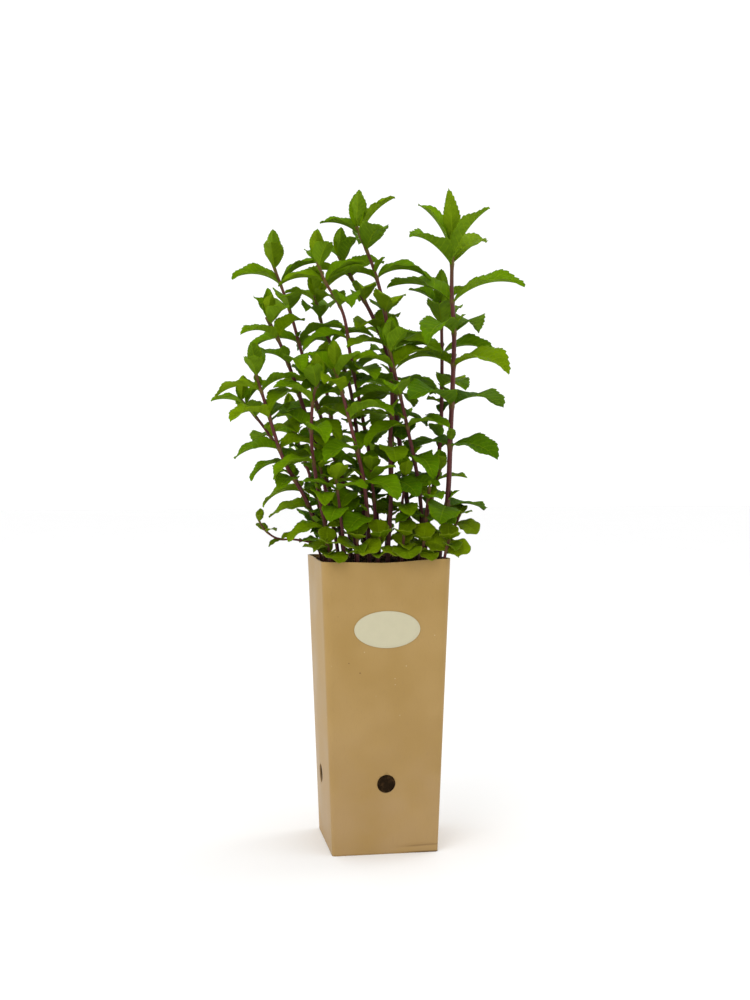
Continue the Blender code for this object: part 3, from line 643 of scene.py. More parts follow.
SHOOTS = {
    "young_shoot_front_left": (
        (-0.0365, -0.0365),
        ((-0.041, -0.041, 0.214),),
        0.0010, 0.36, 20, 0.009),
    "young_shoot_front": (
        (-0.019, -0.037),
        ((-0.020, -0.040, 0.217),),
        0.0010, 0.36, 60, 0.009),
    "young_shoot_front_middle": (
        (0.011, -0.0365),
        ((0.012, -0.040, 0.219),),
        0.0010, 0.37, 0, 0.009),
    "young_shoot_front_right": (
        (0.024, -0.036),
        ((0.026, -0.040, 0.215),),
        0.0010, 0.35, 35, 0.009),
    "young_shoot_right": (
        (0.038, -0.008),
        ((0.050, -0.014, 0.216), (0.056, -0.020, 0.232)),
        0.0010, 0.36, 50, 0.015),
    "young_shoot_back": (
        (0.000, 0.038),
        ((0.000, 0.043, 0.218),),
        0.0010, 0.42, 10, 0.009),
    "young_shoot_middle": (
        (-0.0055, -0.0385),
        ((-0.005, -0.041, 0.218),),
        0.0010, 0.36, 30, 0.009),
    "young_shoot_corner": (
        (0.0395, -0.0395),
        ((0.043, -0.042, 0.216),),
        0.0010, 0.36, 65, 0.009),
}
RUNNERS = {
    "runner_left": (
        (-0.038, 0.009),
        ((-0.043, 0.008, 0.2085), (-0.056, 0.006, 0.212), (-0.069, 0.004, 0.213), (-0.078, 0.003, 0.219),
         (-0.083, 0.002, 0.227)),
        0.0007, 0.28, 25, 0.030),
}


# Soil
# Dark peat, filled in nearly to the rim and settled into a lumpy, crumbly top round each stem,
# with loose crumbs, slivers of bark and a few pale grains on it. It also shows in the drain holes.
SOIL_LEVEL = 0.1965
SOIL_MOUND = 0.0010
SOIL_LUMP = 0.0009
SOIL_SIDE_GAP = 0.0004
SOIL_FLOOR_GAP = 0.0004
SOIL_EDGE = 0.1945
SOIL_SIDE_LEVELS = (0.006, 0.030, 0.0424, 0.0456, 0.0487, 0.0518, 0.0550, 0.080, 0.120, 0.160, 0.185)
SOIL_TOP_RINGS = 44
SOIL_RING_SHIFT = 0.35
SOIL_WALL_STEPS = 36
SOIL_CORNER_STEPS = 6
ROOT_DEPTH = 0.017
STEM_HOLE_SIDES = 10
STEM_HOLE_ROOM = 0.0003
STEM_HOLE_TOP = 0.008
CRUMB_COUNT = 520
BARK_COUNT = 46
CRUMB_SEED = 41
CRUMB_SIDE_ROOM = 0.003
LEAST_CRUMB = 0.0004
CRUMB_SPREAD = 0.0011
CRUMB_RISE = 0.4
CRUMB_DENT = 0.35
CRUMB_DENT_SCALE = 1.7
CRUMB_TONE_CURVE = 1.6
BARK_SIZES = (0.0012, 0.0028)
BARK_SHAPE = (1.0, 0.42, 0.20)
BARK_TILT = 0.35
BARK_TONES = (0.5, 0.88)
SOIL_SHEEN = 0.06
SOIL_DARK = (0.0165, 0.0092, 0.0038, 1.0)
SOIL_BROWN = (0.048, 0.0255, 0.0100, 1.0)
BARK_BROWN = (0.085, 0.042, 0.020, 1.0)
GRAIN_PALE = (0.26, 0.22, 0.13, 1.0)


def soil_height(x, y):
    """The soil's top: a low mound with lumps and, finer, crumbs."""
    mound = SOIL_MOUND * (1 - (x * x + y * y) / RIM_HALF_WIDTH ** 2)
    lumps = math.sin(x * 310 + 1.3) * math.cos(y * 270) + 0.6 * math.sin(x * 530 - y * 410)
    crumbs = noise.noise(Vector((x, y, 0.0)) * 420) + 0.7 * noise.noise(Vector((x, y, 0.3)) * 900)
    return SOIL_LEVEL + mound + SOIL_LUMP * (0.6 * lumps + 0.9 * crumbs)


def soil_surface():
    peat = Surface("dark_peat", roughness=0.95, specular=SOIL_SHEEN)
    lumps = peat.noise(scale=330.0, detail=6.0)
    colour = peat.blend(peat.span(lumps, 0.42, 0.72), SOIL_DARK, SOIL_BROWN)
    fibre = peat.noise(scale=1.0, stretch=(2400.0, 500.0, 900.0))
    colour = peat.blend(peat.times(peat.span(fibre, 0.66, 0.74), 0.6), colour, BARK_BROWN)
    fine = peat.noise(scale=1300.0, detail=5.0)
    return peat.finish(colour, peat.reckon("ADD", lumps, fine), distance=0.0008)


def crumb_surface():
    """Each crumb has its own tone, from brown peat over bark to a pale grain."""
    crumb = Surface("crumbs_and_bark", roughness=0.9, specular=SOIL_SHEEN)
    tone = crumb.value("tone")
    colour = crumb.blend(crumb.span(tone, 0.45, 0.80), SOIL_BROWN, BARK_BROWN)
    colour = crumb.blend(crumb.span(tone, 0.90, 0.98), colour, GRAIN_PALE)
    colour, height = crumb.mottled(colour, scale=900.0, depth=1.1)
    return crumb.finish(colour, height, distance=0.0004)


def stem_hole_tool():
    """Round plugs where the stems stand in the soil."""
    mesh = bpy.data.meshes.new("stem_holes")
    builder = bmesh.new()
    tall = ROOT_DEPTH + STEM_HOLE_TOP
    for stem in {**STEMS, **SHORT_STEMS, **SHOOTS, **RUNNERS}.values():
        foot, girth = stem[0], stem[2]
        radius = girth * math.sqrt(2) + STEM_HOLE_ROOM
        place = Matrix.Translation((*foot, SOIL_LEVEL - ROOT_DEPTH - STEM_HOLE_ROOM + tall / 2))
        bmesh.ops.create_cone(builder, cap_ends=True, segments=STEM_HOLE_SIDES, radius1=radius,
                              radius2=radius, depth=tall, matrix=place)
    return tool_from(builder, mesh)


def make_soil():
    inset = CARD + SOIL_SIDE_GAP
    floor_height = CARD + SOIL_FLOOR_GAP
    rings = []
    for z in (floor_height, *SOIL_SIDE_LEVELS, SOIL_EDGE):
        rings.append(pot_ring(z, inset, SOIL_WALL_STEPS, SOIL_CORNER_STEPS, uneven=False))
    brim = rings[-1]
    for number in range(SOIL_TOP_RINGS):
        share = 1 - (number + SOIL_RING_SHIFT) / SOIL_TOP_RINGS
        spots = [(point.x * share, point.y * share) for point in brim]
        rings.append([Vector((x, y, soil_height(x, y))) for x, y in spots])
    points, faces = loft(rings)
    count = len(brim)
    fan_cap(points, faces, len(points) - count, count, Vector((0, 0, soil_height(0, 0))), True)
    fan_cap(points, faces, 0, count, Vector((0, 0, floor_height)), False)
    peat = soil_surface()
    soil = add_piece("potting_soil", points, faces, [peat])
    cut_with(soil, [stem_hole_tool()], peat)
    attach(soil, "root")
    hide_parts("soil")


def make_crumbs():
    """Loose crumbs as dented balls, and bark as flat slivers, each lying on the soil."""
    draw = random.Random(CRUMB_SEED)
    ball = bmesh.new()
    bmesh.ops.create_icosphere(ball, subdivisions=2, radius=1.0)
    corners = [vertex.co.copy() for vertex in ball.verts]
    triangles = [[vertex.index for vertex in face.verts] for face in ball.faces]
    ball.free()
    room = wall_half_width(SOIL_LEVEL) - CARD - CRUMB_SIDE_ROOM
    points, faces, tones = [], [], []
    for number in range(CRUMB_COUNT + BARK_COUNT):
        is_bark = number >= CRUMB_COUNT
        x, y = draw.uniform(-room, room), draw.uniform(-room, room)
        size = draw.uniform(*BARK_SIZES) if is_bark else LEAST_CRUMB + CRUMB_SPREAD * draw.random() ** 2
        shape = BARK_SHAPE if is_bark else (1.0, draw.uniform(0.6, 1.0), draw.uniform(0.5, 0.9))
        tilt = BARK_TILT if is_bark else math.pi
        turned = Matrix.Rotation(draw.uniform(0, 2 * math.pi), 3, "Z")
        for axis in "XY":
            turned = turned @ Matrix.Rotation(draw.uniform(-tilt, tilt), 3, axis)
        seat = Vector((x, y, soil_height(x, y) + size * shape[2] * CRUMB_RISE))
        seed = Vector((draw.random(), draw.random(), draw.random())) * 50
        tone = draw.uniform(*BARK_TONES) if is_bark else draw.random() ** CRUMB_TONE_CURVE
        start = len(points)
        for corner in corners:
            dented = corner * (1 + CRUMB_DENT * noise.noise(corner * CRUMB_DENT_SCALE + seed))
            dented = Vector([reach * share for reach, share in zip(dented, shape)])
            points.append(seat + turned @ dented * size)
            tones.append(tone)
        faces.extend([[start + index for index in triangle] for triangle in triangles])
    crumbs = add_piece("crumbs_and_bark", points, faces, [crumb_surface()], values={"tone": tones})
    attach(crumbs, "root")


make_soil()
make_crumbs()


# Leafy stems, young shoots and the runner
# Square purple-brown stems of the mint family with opposite pairs of toothed leaves, each turned a
# quarter from the one above it and bent clear of its neighbours, by the same rule as the solids.
TALLEST_STEM = "leafy_stem_right"
STEM_TIP_SHARE = 0.68
STEM_TAPER = 2.2
RING_ABOVE_PAIR = 0.003
RINGS_FROM_PAIR = 3
RUNNER_RINGS = (0.005, 0.010, 0.015, 0.022, 0.033, 0.043)
STEPS_PER_WAY = 12
LEAST_SPREAD = 0.5
FIRST_SEED = 7
MM = 0.001
# Pairs from the tip down: the gap above each and its leaves' length in millimetres, their rise and
# bend in degrees, their width against their length, and their fold in degrees.
PAIRS = (
    (1.5, 26, 80, 12, 0.27, 32),
    (5.0, 35, 57, 48, 0.27, 30),
    (12.0, 42, 44, 64, 0.26, 28),
    (21.0, 46, 37, 74, 0.26, 25),
    (25.0, 46, 32, 74, 0.27, 21),
    (26.0, 42, 27, 72, 0.29, 17),
    (25.0, 37, 20, 66, 0.33, 13),
    (25.0, 33, 12, 62, 0.37, 11),
    (24.0, 29, 6, 58, 0.39, 9),
)
TALLEST_PAIRS = (
    (1.0, 43, 88, 8, 0.17, 34),
    (3.0, 47, 68, 48, 0.20, 30),
    (6.0, 58, 44, 56, 0.19, 28),
    (26.0, 56, 38, 70, 0.20, 26),
    (22.0, 54, 36, 70, 0.21, 24),
    (22.0, 54, 33, 68, 0.215, 22),
    (28.0, 53, 30, 66, 0.23, 18),
    (28.0, 44, 26, 62, 0.28, 14),
    (42.0, 36, 14, 54, 0.34, 10),
)
SHORT_PAIRS = (
    (1.5, 26, 60, 26, 0.32, 20),
    (7.0, 34, 34, 50, 0.34, 14),
    (13.0, 38, 22, 58, 0.36, 12),
    (15.0, 36, 14, 46, 0.39, 10),
)
SHOOT_PAIRS = (
    (2.0, 38, 50, 30, 0.40, 8),
    (7.0, 46, 26, 46, 0.42, 6),
    (11.0, 46, 14, 46, 0.42, 6),
)
RUNNER_PAIRS = (
    (2.0, 40, 55, 34, 0.26, 14),
    (9.0, 46, 34, 50, 0.28, 12),
    (12.0, 40, 20, 50, 0.28, 12),
)
CLUSTER_PAIRS = 3
BLADE = 0.0007
LIGHT_ROLL = math.radians(14)
LIGHT_DIP = math.radians(8)
ROUND_LEAF_TURN = 2.4
LEAN_SHARE = 0.5
SIZE_CHANCE = 0.08
BEND_CHANCE = 0.25
SWAY_CHANCE = 0.10
TURN_CHANCE = math.radians(9)
RISE_CHANCE = math.radians(7)
ROLL_CHANCE = math.radians(10)
PAIR_TURN_CHANCE = math.radians(8)
TIP_PAIR_TURN = math.radians(-98)
ROOT_INSET_SHARE = 0.2
PETIOLE_SHARE = 0.03
LEAF_SHOULDER = 0.85
SLIM_TAPER = 1.25
BLUNTNESS = 1.6
CLEAR = 0.0004
RIM_CLEAR = 0.0025
# Outlines of the solids' blades: shares of the length, and of the smooth half width there, along
# one side, and then the stations along the midrib.
TOOTHED = (((0.23, 1.0), (0.45, 1.11), (0.53, 0.88), (0.76, 1.08)), (0.40, 0.72))
WAVED = (((0.26, 1.0), (0.50, 1.12), (0.78, 1.06)), (0.50,))
PLAIN = (((0.30, 1.05), (0.66, 1.14)), (0.48,))
ROUND = (((0.25, 1.15), (0.70, 1.35)), (0.48,))
ROUND_FROM_RATIO = 0.40
TOOTHED_FROM = 0.052
WAVED_FROM = 0.040
TURNS = (0, 12, -12, 24, -24, 38, -38, 52, -52)
LIFTS = (0, 14, -14, 28, -26)
SHRINKS = (1.0, 0.82, 0.64)


def stem_path(foot, ways):
    """A smooth way up from the soil, as close points with their distance along it."""
    start = Vector((foot[0], foot[1], SOIL_LEVEL))
    knots = [start] + [Vector(way) for way in ways]
    slopes = [Vector((0, 0, (knots[1] - knots[0]).length))]
    for i in range(1, len(knots) - 1):
        slopes.append((knots[i + 1] - knots[i - 1]) / 2)
    slopes.append(knots[-1] - knots[-2])
    points = [start]
    for i in range(len(knots) - 1):
        for step in range(1, STEPS_PER_WAY + 1):
            t = step / STEPS_PER_WAY
            points.append(knots[i] * (2 * t ** 3 - 3 * t ** 2 + 1) + slopes[i] * (t ** 3 - 2 * t ** 2 + t)
                          + knots[i + 1] * (3 * t ** 2 - 2 * t ** 3) + slopes[i + 1] * (t ** 3 - t ** 2))
    lengths = [0.0]
    for a, b in zip(points, points[1:]):
        lengths.append(lengths[-1] + (b - a).length)
    return points, lengths


def along_path(path, distance):
    """The point at a distance along the way, and its direction there."""
    points, lengths = path
    distance = min(max(distance, 0.0), lengths[-1])
    i = 1
    while lengths[i] < distance:
        i += 1
    share = (distance - lengths[i - 1]) / (lengths[i] - lengths[i - 1])
    return points[i - 1].lerp(points[i], share), (points[i] - points[i - 1]).normalized()


def girth_at(girth, share):
    """Half of the square stem's width: it thins a little towards the tip."""
    return girth * (1 - (1 - STEM_TIP_SHARE) * share ** STEM_TAPER)


def across_stem(facing, direction):
    """Two directions across a stem, square to it and to each other, the first one towards facing."""
    side = (facing - direction * facing.dot(direction)).normalized()
    return side, direction.cross(side)


def stem_tube(path, foot, girth, turn):
    """A closed square tube: upright in the soil, then along the way up, one ring to each point."""
    facing = Vector((math.cos(turn), math.sin(turn), 0))
    upright = Vector((0, 0, 1))
    centres, heights = path
    stations = [(Vector((foot[0], foot[1], SOIL_LEVEL - ROOT_DEPTH)), upright, girth),
                (centres[0], upright, girth)]
    for i in range(1, len(centres)):
        ahead = centres[min(i + 1, len(centres) - 1)]
        direction = (ahead - centres[i - 1]).normalized()
        stations.append((centres[i], direction, girth_at(girth, heights[i] / heights[-1])))
    tube = []
    for point, direction, half in stations:
        side, up = across_stem(facing, direction)
        corners = ((1, 1), (-1, 1), (-1, -1), (1, -1))
        tube.append([point + side * (half * a) + up * (half * b) for a, b in corners])
    points, faces = loft(tube)
    last = len(points) - 4
    faces += [(3, 2, 1, 0), (last, last + 1, last + 2, last + 3)]
    return points, [half for a, b, c, d in faces for half in ((a, b, c), (a, c, d))]


def half_width(leaf, share):
    """Half of a smooth blade's width at a share of its length."""
    blade = max(share - PETIOLE_SHARE, 0.0) / (1 - PETIOLE_SHARE)
    return leaf["width"] * math.sin(math.pi * blade ** LEAF_SHOULDER) ** leaf["taper"]


def blade_point(leaf, share, across, lift=0.0):
    """A point of the blade: across metres from its arched midrib, and lift off its face."""
    rise, bend, length = leaf["rise"], leaf["bend"], leaf["length"]
    heading = Vector((math.cos(leaf["azimuth"]), math.sin(leaf["azimuth"]), 0))
    sideways = Vector((-heading.y, heading.x, 0))
    slope = rise - bend * share
    out = length * (math.sin(rise) - math.sin(slope)) / bend
    up = length * (math.cos(slope) - math.cos(rise)) / bend
    sway = leaf["sway"] * length * share ** 2
    rib = leaf["root"] + heading * out + Vector((0, 0, up)) + sideways * sway
    level = heading * -math.sin(slope) + Vector((0, 0, math.cos(slope)))
    side = sideways * math.cos(leaf["roll"]) + level * math.sin(leaf["roll"])
    normal = level * math.cos(leaf["roll"]) - sideways * math.sin(leaf["roll"])
    raised = abs(across) * math.sin(leaf["fold"]) + lift
    return rib + side * (across * math.cos(leaf["fold"])) + normal * raised


def outline_of(leaf):
    """Stations along one side of a blade, and those along its midrib."""
    if leaf["round"]:
        return ROUND
    if leaf["length"] >= TOOTHED_FROM:
        return TOOTHED
    return WAVED if leaf["length"] >= WAVED_FROM else PLAIN


def leaf_solid(leaf, grow=0.0):
    """A closed blade, split into triangles alike on both faces."""
    stations, rib_shares = outline_of(leaf)
    left = [(share, half_width(leaf, share) * factor + grow) for share, factor in stations]
    right = [(share, -across) for share, across in reversed(left)]
    rib = [(share, 0.0) for share in rib_shares]
    spots = [(0.0, 0.0)] + left + [(1.0, 0.0)] + right + rib
    outline_count = 2 * len(left) + 2
    tip_index = len(left) + 1
    half_blade = BLADE / 2 + grow
    points = [blade_point(leaf, share, across, half_blade) for share, across in spots]
    points += [blade_point(leaf, share, across, -half_blade) for share, across in spots]

    def strip(side, middle):
        """Triangles between one edge of the blade and its midrib, which meet at the tip."""
        fan = []
        i = j = 0
        while i < len(side) - 1 or j < len(middle) - 1:
            side_next = spots[side[i + 1]][0] if i < len(side) - 1 else 2.0
            middle_next = spots[middle[j + 1]][0] if j < len(middle) - 1 else 2.0
            if side_next <= middle_next:
                if side[i + 1] != middle[j]:
                    fan.append((side[i], side[i + 1], middle[j]))
                i += 1
            else:
                if middle[j + 1] != side[i]:
                    fan.append((side[i], middle[j + 1], middle[j]))
                j += 1
        return fan

    left_edge = list(range(1, tip_index + 1))
    right_edge = list(range(outline_count - 1, tip_index - 1, -1))
    middle = list(range(outline_count, outline_count + len(rib))) + [tip_index]
    top = [(c, b, a) for a, b, c in strip(left_edge, middle)]
    top += strip(right_edge, middle)
    top += [(left_edge[0], right_edge[0], middle[0]), (0, right_edge[0], left_edge[0])]
    total = len(spots)
    faces = [tuple(face) for face in top]
    faces += [(c + total, b + total, a + total) for a, b, c in top]
    for i in range(outline_count):
        j = (i + 1) % outline_count
        faces.append((i, j, j + total))
        faces.append((i, j + total, i + total))
    return points, faces


def leaf_on(path, distance, girth_here, azimuth, size, draw, row):
    """A leaf of one row of the pair table, its face turned to the light in front."""

    def chance(most):
        return draw.uniform(-most, most)

    length, rise, bend, ratio, fold = row[1:]
    point, direction = along_path(path, distance)
    heading = Vector((math.cos(azimuth), math.sin(azimuth), 0))
    outward = across_stem(heading, direction)[0]
    lean = math.asin(max(-1.0, min(1.0, outward.z)))
    long = length * MM * size * (1 + chance(SIZE_CHANCE))
    is_round = ratio >= ROUND_FROM_RATIO
    to_light = ROUND_LEAF_TURN if is_round else 1.0
    tilt = LEAN_SHARE * lean + to_light * LIGHT_DIP * math.sin(azimuth)
    return {
        "root": point + outward * (girth_here * ROOT_INSET_SHARE),
        "azimuth": azimuth + chance(TURN_CHANCE),
        "rise": math.radians(rise) + chance(RISE_CHANCE) + tilt,
        "bend": math.radians(bend) * (1 + chance(BEND_CHANCE)),
        "roll": chance(ROLL_CHANCE) + to_light * LIGHT_ROLL * math.cos(azimuth),
        "sway": chance(SWAY_CHANCE),
        "fold": math.radians(fold),
        "length": long,
        "width": long * ratio * (1 + chance(SIZE_CHANCE)),
        "taper": SLIM_TAPER - BLUNTNESS * ratio,
        "round": is_round,
    }


def box_of(points):
    return [(min(p[i] for p in points), max(p[i] for p in points)) for i in range(3)]


def stand(owner, shape, obstacles):
    """Let a shape stand in the way of the leaves that come after it."""
    obstacles.append((owner, box_of(shape[0]), BVHTree.FromPolygons(*shape)))


def boxes_meet(a, b):
    return all(a[i][0] <= b[i][1] and b[i][0] <= a[i][1] for i in range(3))


def over_pot(points, faces):
    """Whether a blade dips into the pot or its rim."""
    samples = list(points) + [(points[a] + points[b] + points[c]) / 3 for a, b, c in faces]
    samples += [(points[a] + points[b]) / 2 for a, b, c in faces]
    for point in samples:
        if point.z < POT_HEIGHT + RIM_CLEAR:
            if max(abs(point.x), abs(point.y)) < wall_half_width(max(point.z, 0.0)) + RIM_CLEAR:
                return True
    return False


def bend_clear(leaf, own_stem, obstacles):
    """Turn, lift or shrink a leaf until it is clear of what stands already, or give up."""
    for shrink, lift, turn in itertools.product(SHRINKS, LIFTS, TURNS):
        tried = dict(leaf, length=leaf["length"] * shrink, width=leaf["width"] * shrink)
        tried["azimuth"] += math.radians(turn)
        tried["rise"] += math.radians(lift)
        points, faces = leaf_solid(tried, CLEAR)
        if over_pot(points, faces):
            continue
        box = box_of(points)
        tree = BVHTree.FromPolygons(points, faces)
        near = [other for owner, other_box, other in obstacles
                if owner != own_stem and boxes_meet(box, other_box)]
        if not any(tree.overlap(other) for other in near):
            return tried
    return None


def pair_heights(total, pairs, spread, lowest):
    """How far along a stem each pair stands, from the tip down."""
    heights = []
    height = total
    while True:
        height -= pairs[min(len(heights), len(pairs) - 1)][0] * MM * spread
        if height < lowest:
            return heights
        heights.append(height)


def plant_plan():
    """Every stem's way and leaves, each leaf bent clear of the other stems and leaves."""
    plan = {}
    obstacles = []
    for group, group_pairs in ((STEMS, PAIRS), (SHORT_STEMS, SHORT_PAIRS), (SHOOTS, SHOOT_PAIRS),
                               (RUNNERS, RUNNER_PAIRS)):
        for name, (foot, ways, girth, size, turn, lowest) in group.items():
            way = stem_path(foot, ways)
            total = way[1][-1]
            pairs = TALLEST_PAIRS if name == TALLEST_STEM else group_pairs
            spread = LEAST_SPREAD + (1 - LEAST_SPREAD) * size if pairs is PAIRS else 1.0
            heights = pair_heights(total, pairs, spread, lowest)
            rings = [0.0, total] + [height + RING_ABOVE_PAIR for height in heights[RINGS_FROM_PAIR:]]
            if group is RUNNERS:
                rings += RUNNER_RINGS
            rings.sort()
            path = ([along_path(way, ring)[0] for ring in rings], rings)
            turn = math.radians(turn)
            plan[name] = {"foot": foot, "way": way, "path": path, "girth": girth, "size": size,
                          "turn": turn, "pairs": pairs, "heights": heights, "leaves": []}
            stand(name, stem_tube(path, foot, girth, turn), obstacles)
    for seed, (name, stem) in enumerate(plan.items()):
        draw = random.Random(FIRST_SEED + seed)
        for number, height in enumerate(stem["heights"]):
            row = stem["pairs"][min(number, len(stem["pairs"]) - 1)]
            girth_here = girth_at(stem["girth"], height / stem["path"][1][-1])
            turn = TIP_PAIR_TURN if number == 0 else stem["turn"] + QUARTER_TURN * number
            turn += draw.uniform(-PAIR_TURN_CHANCE, PAIR_TURN_CHANCE)
            for opposite in (0, math.pi):
                wished = leaf_on(stem["path"], height, girth_here, turn + opposite, stem["size"], draw, row)
                leaf = bend_clear(wished, name, obstacles)
                if leaf:
                    stem["leaves"].append(dict(leaf, pair=number))
                    stand(name if number < CLUSTER_PAIRS else None, leaf_solid(leaf), obstacles)
    return plan, obstacles


# The fine skin of a leaf
# A thin closed blade with a toothed margin, quilted between its side veins, with a groove over
# its midrib and a rib under it. It waves and twists a little as it grows.
TOOTH_PHASES = (0.0, 0.42, 0.80)
TOOTH_HEIGHTS = (0.0, 0.62, 1.0)
TOOTH_LEAN = 0.010
TEETH_FROM = 0.115
TEETH_TO = 0.955
TEETH_OF_LARGE = (11, 0.023)
TEETH_OF_SMALL = (8, 0.018)
TEETH_OF_TINY = (5, 0.020)
TEETH_OF_ROUND = (6, 0.005)
LARGE_FROM = 0.028
TINY_UNDER = 0.0165
PETIOLE_STATIONS = (0.0, 0.02, 0.04, 0.065, 0.09)
TIP_STATIONS = (0.975, 0.990, 0.998)
ACROSS = (-1.0, -0.86, -0.64, -0.40, -0.18, -0.045, 0.045, 0.18, 0.40, 0.64, 0.86, 1.0)
ACROSS_OF_TINY = (-1.0, -0.55, -0.08, 0.08, 0.55, 1.0)
PETIOLE_HALF_WIDTH = 0.0007
TIP_HALF_WIDTH = 0.00025
LEAF_THICKNESS = 0.00036
MARGIN_THICKNESS = 0.00016
RIB_DEPTH = 0.00045
RIB_REACH = 0.060
GROOVE_DEPTH = 0.00020
VEIN_START = 0.10
VEIN_GAP = 0.112
VEIN_LEAN = 0.17
VEIN_CURVE = 1.3
FULL_LEAF = 0.045
QUILT = 0.00042
QUILT_YOUNG = 0.35
WAVE_DEPTH = 0.088
WAVE_SHIFT = 1.3
TWIST = math.radians(16)
WAVES = 2.6
ROUNDNESS = 0.35


def blade_half_width(leaf, share):
    """half_width for whole arrays, rounder on the small leaves, the stalk and tip never too thin."""
    blade = np.clip((share - PETIOLE_SHARE) / (1 - PETIOLE_SHARE), 0.0, 1.0)
    smooth = leaf["width"] * np.sin(np.pi * blade ** LEAF_SHOULDER) ** leaf["taper"]
    if leaf["round"]:
        smooth = smooth * (1 + ROUNDNESS * smooth_step(0.10, 0.70, share))
    least = PETIOLE_HALF_WIDTH + (TIP_HALF_WIDTH - PETIOLE_HALF_WIDTH) * share
    return np.maximum(smooth, least * min(1.0, leaf["length"] / LARGE_FROM))


def blade_places(leaf, share, across, lift):
    """blade_point for whole arrays, of a blade that also twists towards its tip."""
    rise, bend, length = leaf["rise"], leaf["bend"], leaf["length"]
    heading = np.array([math.cos(leaf["azimuth"]), math.sin(leaf["azimuth"]), 0.0])
    sideways = np.array([-heading[1], heading[0], 0.0])
    upright = np.array([0.0, 0.0, 1.0])
    slope = (rise - bend * share)[..., None]
    out = length * (math.sin(rise) - np.sin(slope)) / bend
    up = length * (np.cos(slope) - math.cos(rise)) / bend
    sway = (leaf["sway"] * length * share ** 2)[..., None]
    rib = np.array(leaf["root"]) + out * heading + up * upright + sway * sideways
    level = np.cos(slope) * upright - np.sin(slope) * heading
    roll = (leaf["roll"] + leaf["twist"] * share ** 2)[..., None]
    side = np.cos(roll) * sideways + np.sin(roll) * level
    normal = np.cos(roll) * level - np.sin(roll) * sideways
    height = np.abs(across) * math.sin(leaf["fold"]) + lift
    return rib + side * (across * math.cos(leaf["fold"]))[..., None] + normal * height[..., None]


def leaf_stations(teeth):
    """Shares of the length, and how far out a tooth stands at each."""
    shares, heights = list(PETIOLE_STATIONS), [0.0] * len(PETIOLE_STATIONS)
    pitch = (TEETH_TO - TEETH_FROM) / teeth
    for tooth in range(teeth):
        for phase, height in zip(TOOTH_PHASES, TOOTH_HEIGHTS):
            shares.append(TEETH_FROM + (tooth + phase) * pitch)
            heights.append(height)
    shares += [TEETH_TO, *TIP_STATIONS]
    heights += [0.0] * (1 + len(TIP_STATIONS))
    return np.array(shares), np.array(heights)


def teeth_of(leaf):
    """How many teeth a leaf has on each side, and how deep they are against its length."""
    if leaf["round"]:
        return TEETH_OF_ROUND
    if leaf["length"] < TINY_UNDER:
        return TEETH_OF_TINY
    return TEETH_OF_LARGE if leaf["length"] >= LARGE_FROM else TEETH_OF_SMALL


def blade_skins(leaf, age, draw, cross, share, tooth, depth):
    """The upper and the lower face of a leaf, with their quilts, waves, groove and rib."""
    off = np.abs(cross)
    reach = blade_half_width(leaf, share) * cross
    reach = reach * (1 - 0.5 * depth * leaf["length"] / leaf["width"] * (off == 1.0))
    reach = reach + np.sign(cross) * tooth * depth * leaf["length"]
    lean = np.minimum(share + tooth * TOOTH_LEAN, 1.0)
    vein = (share - VEIN_LEAN * off ** VEIN_CURVE - VEIN_START) / VEIN_GAP
    between = 0.5 - 0.5 * np.cos(2 * np.pi * vein)
    inner = smooth_step(0.0, 0.25, off) * (1 - smooth_step(0.80, 1.0, off))
    ends = smooth_step(0.06, 0.18, share) * (1 - smooth_step(0.82, 0.97, share))
    size = leaf["length"] / FULL_LEAF
    quilt = QUILT * size * (QUILT_YOUNG + (1 - QUILT_YOUNG) * age) * between * inner * ends
    phase = draw.uniform(0, 2 * math.pi) + WAVE_SHIFT * np.sign(cross)
    wave = WAVE_DEPTH * leaf["width"] * off ** 3 * np.sin(2 * np.pi * WAVES * share + phase)
    wave = wave * smooth_step(0.10, 0.30, share)
    groove = -GROOVE_DEPTH * size * (1 - smooth_step(0.0, 0.10, off))
    thick = LEAF_THICKNESS + (MARGIN_THICKNESS - LEAF_THICKNESS) * off ** 4
    rib = RIB_DEPTH * size * (1 - smooth_step(RIB_REACH, RIB_REACH * 3, off)) * (1 - 0.8 * share)
    stalk = 1 - smooth_step(0.02, 0.08, share)
    rib = rib * (1 - stalk) + stalk * PETIOLE_HALF_WIDTH * size * (1 - cross ** 2)
    leaf = dict(leaf, twist=draw.uniform(-TWIST, TWIST))
    top = blade_places(leaf, lean, reach, quilt + wave + groove + thick / 2)
    below = blade_places(leaf, lean, reach, 0.6 * quilt + wave - thick / 2 - rib)
    return top.reshape(-1, 3), below.reshape(-1, 3)


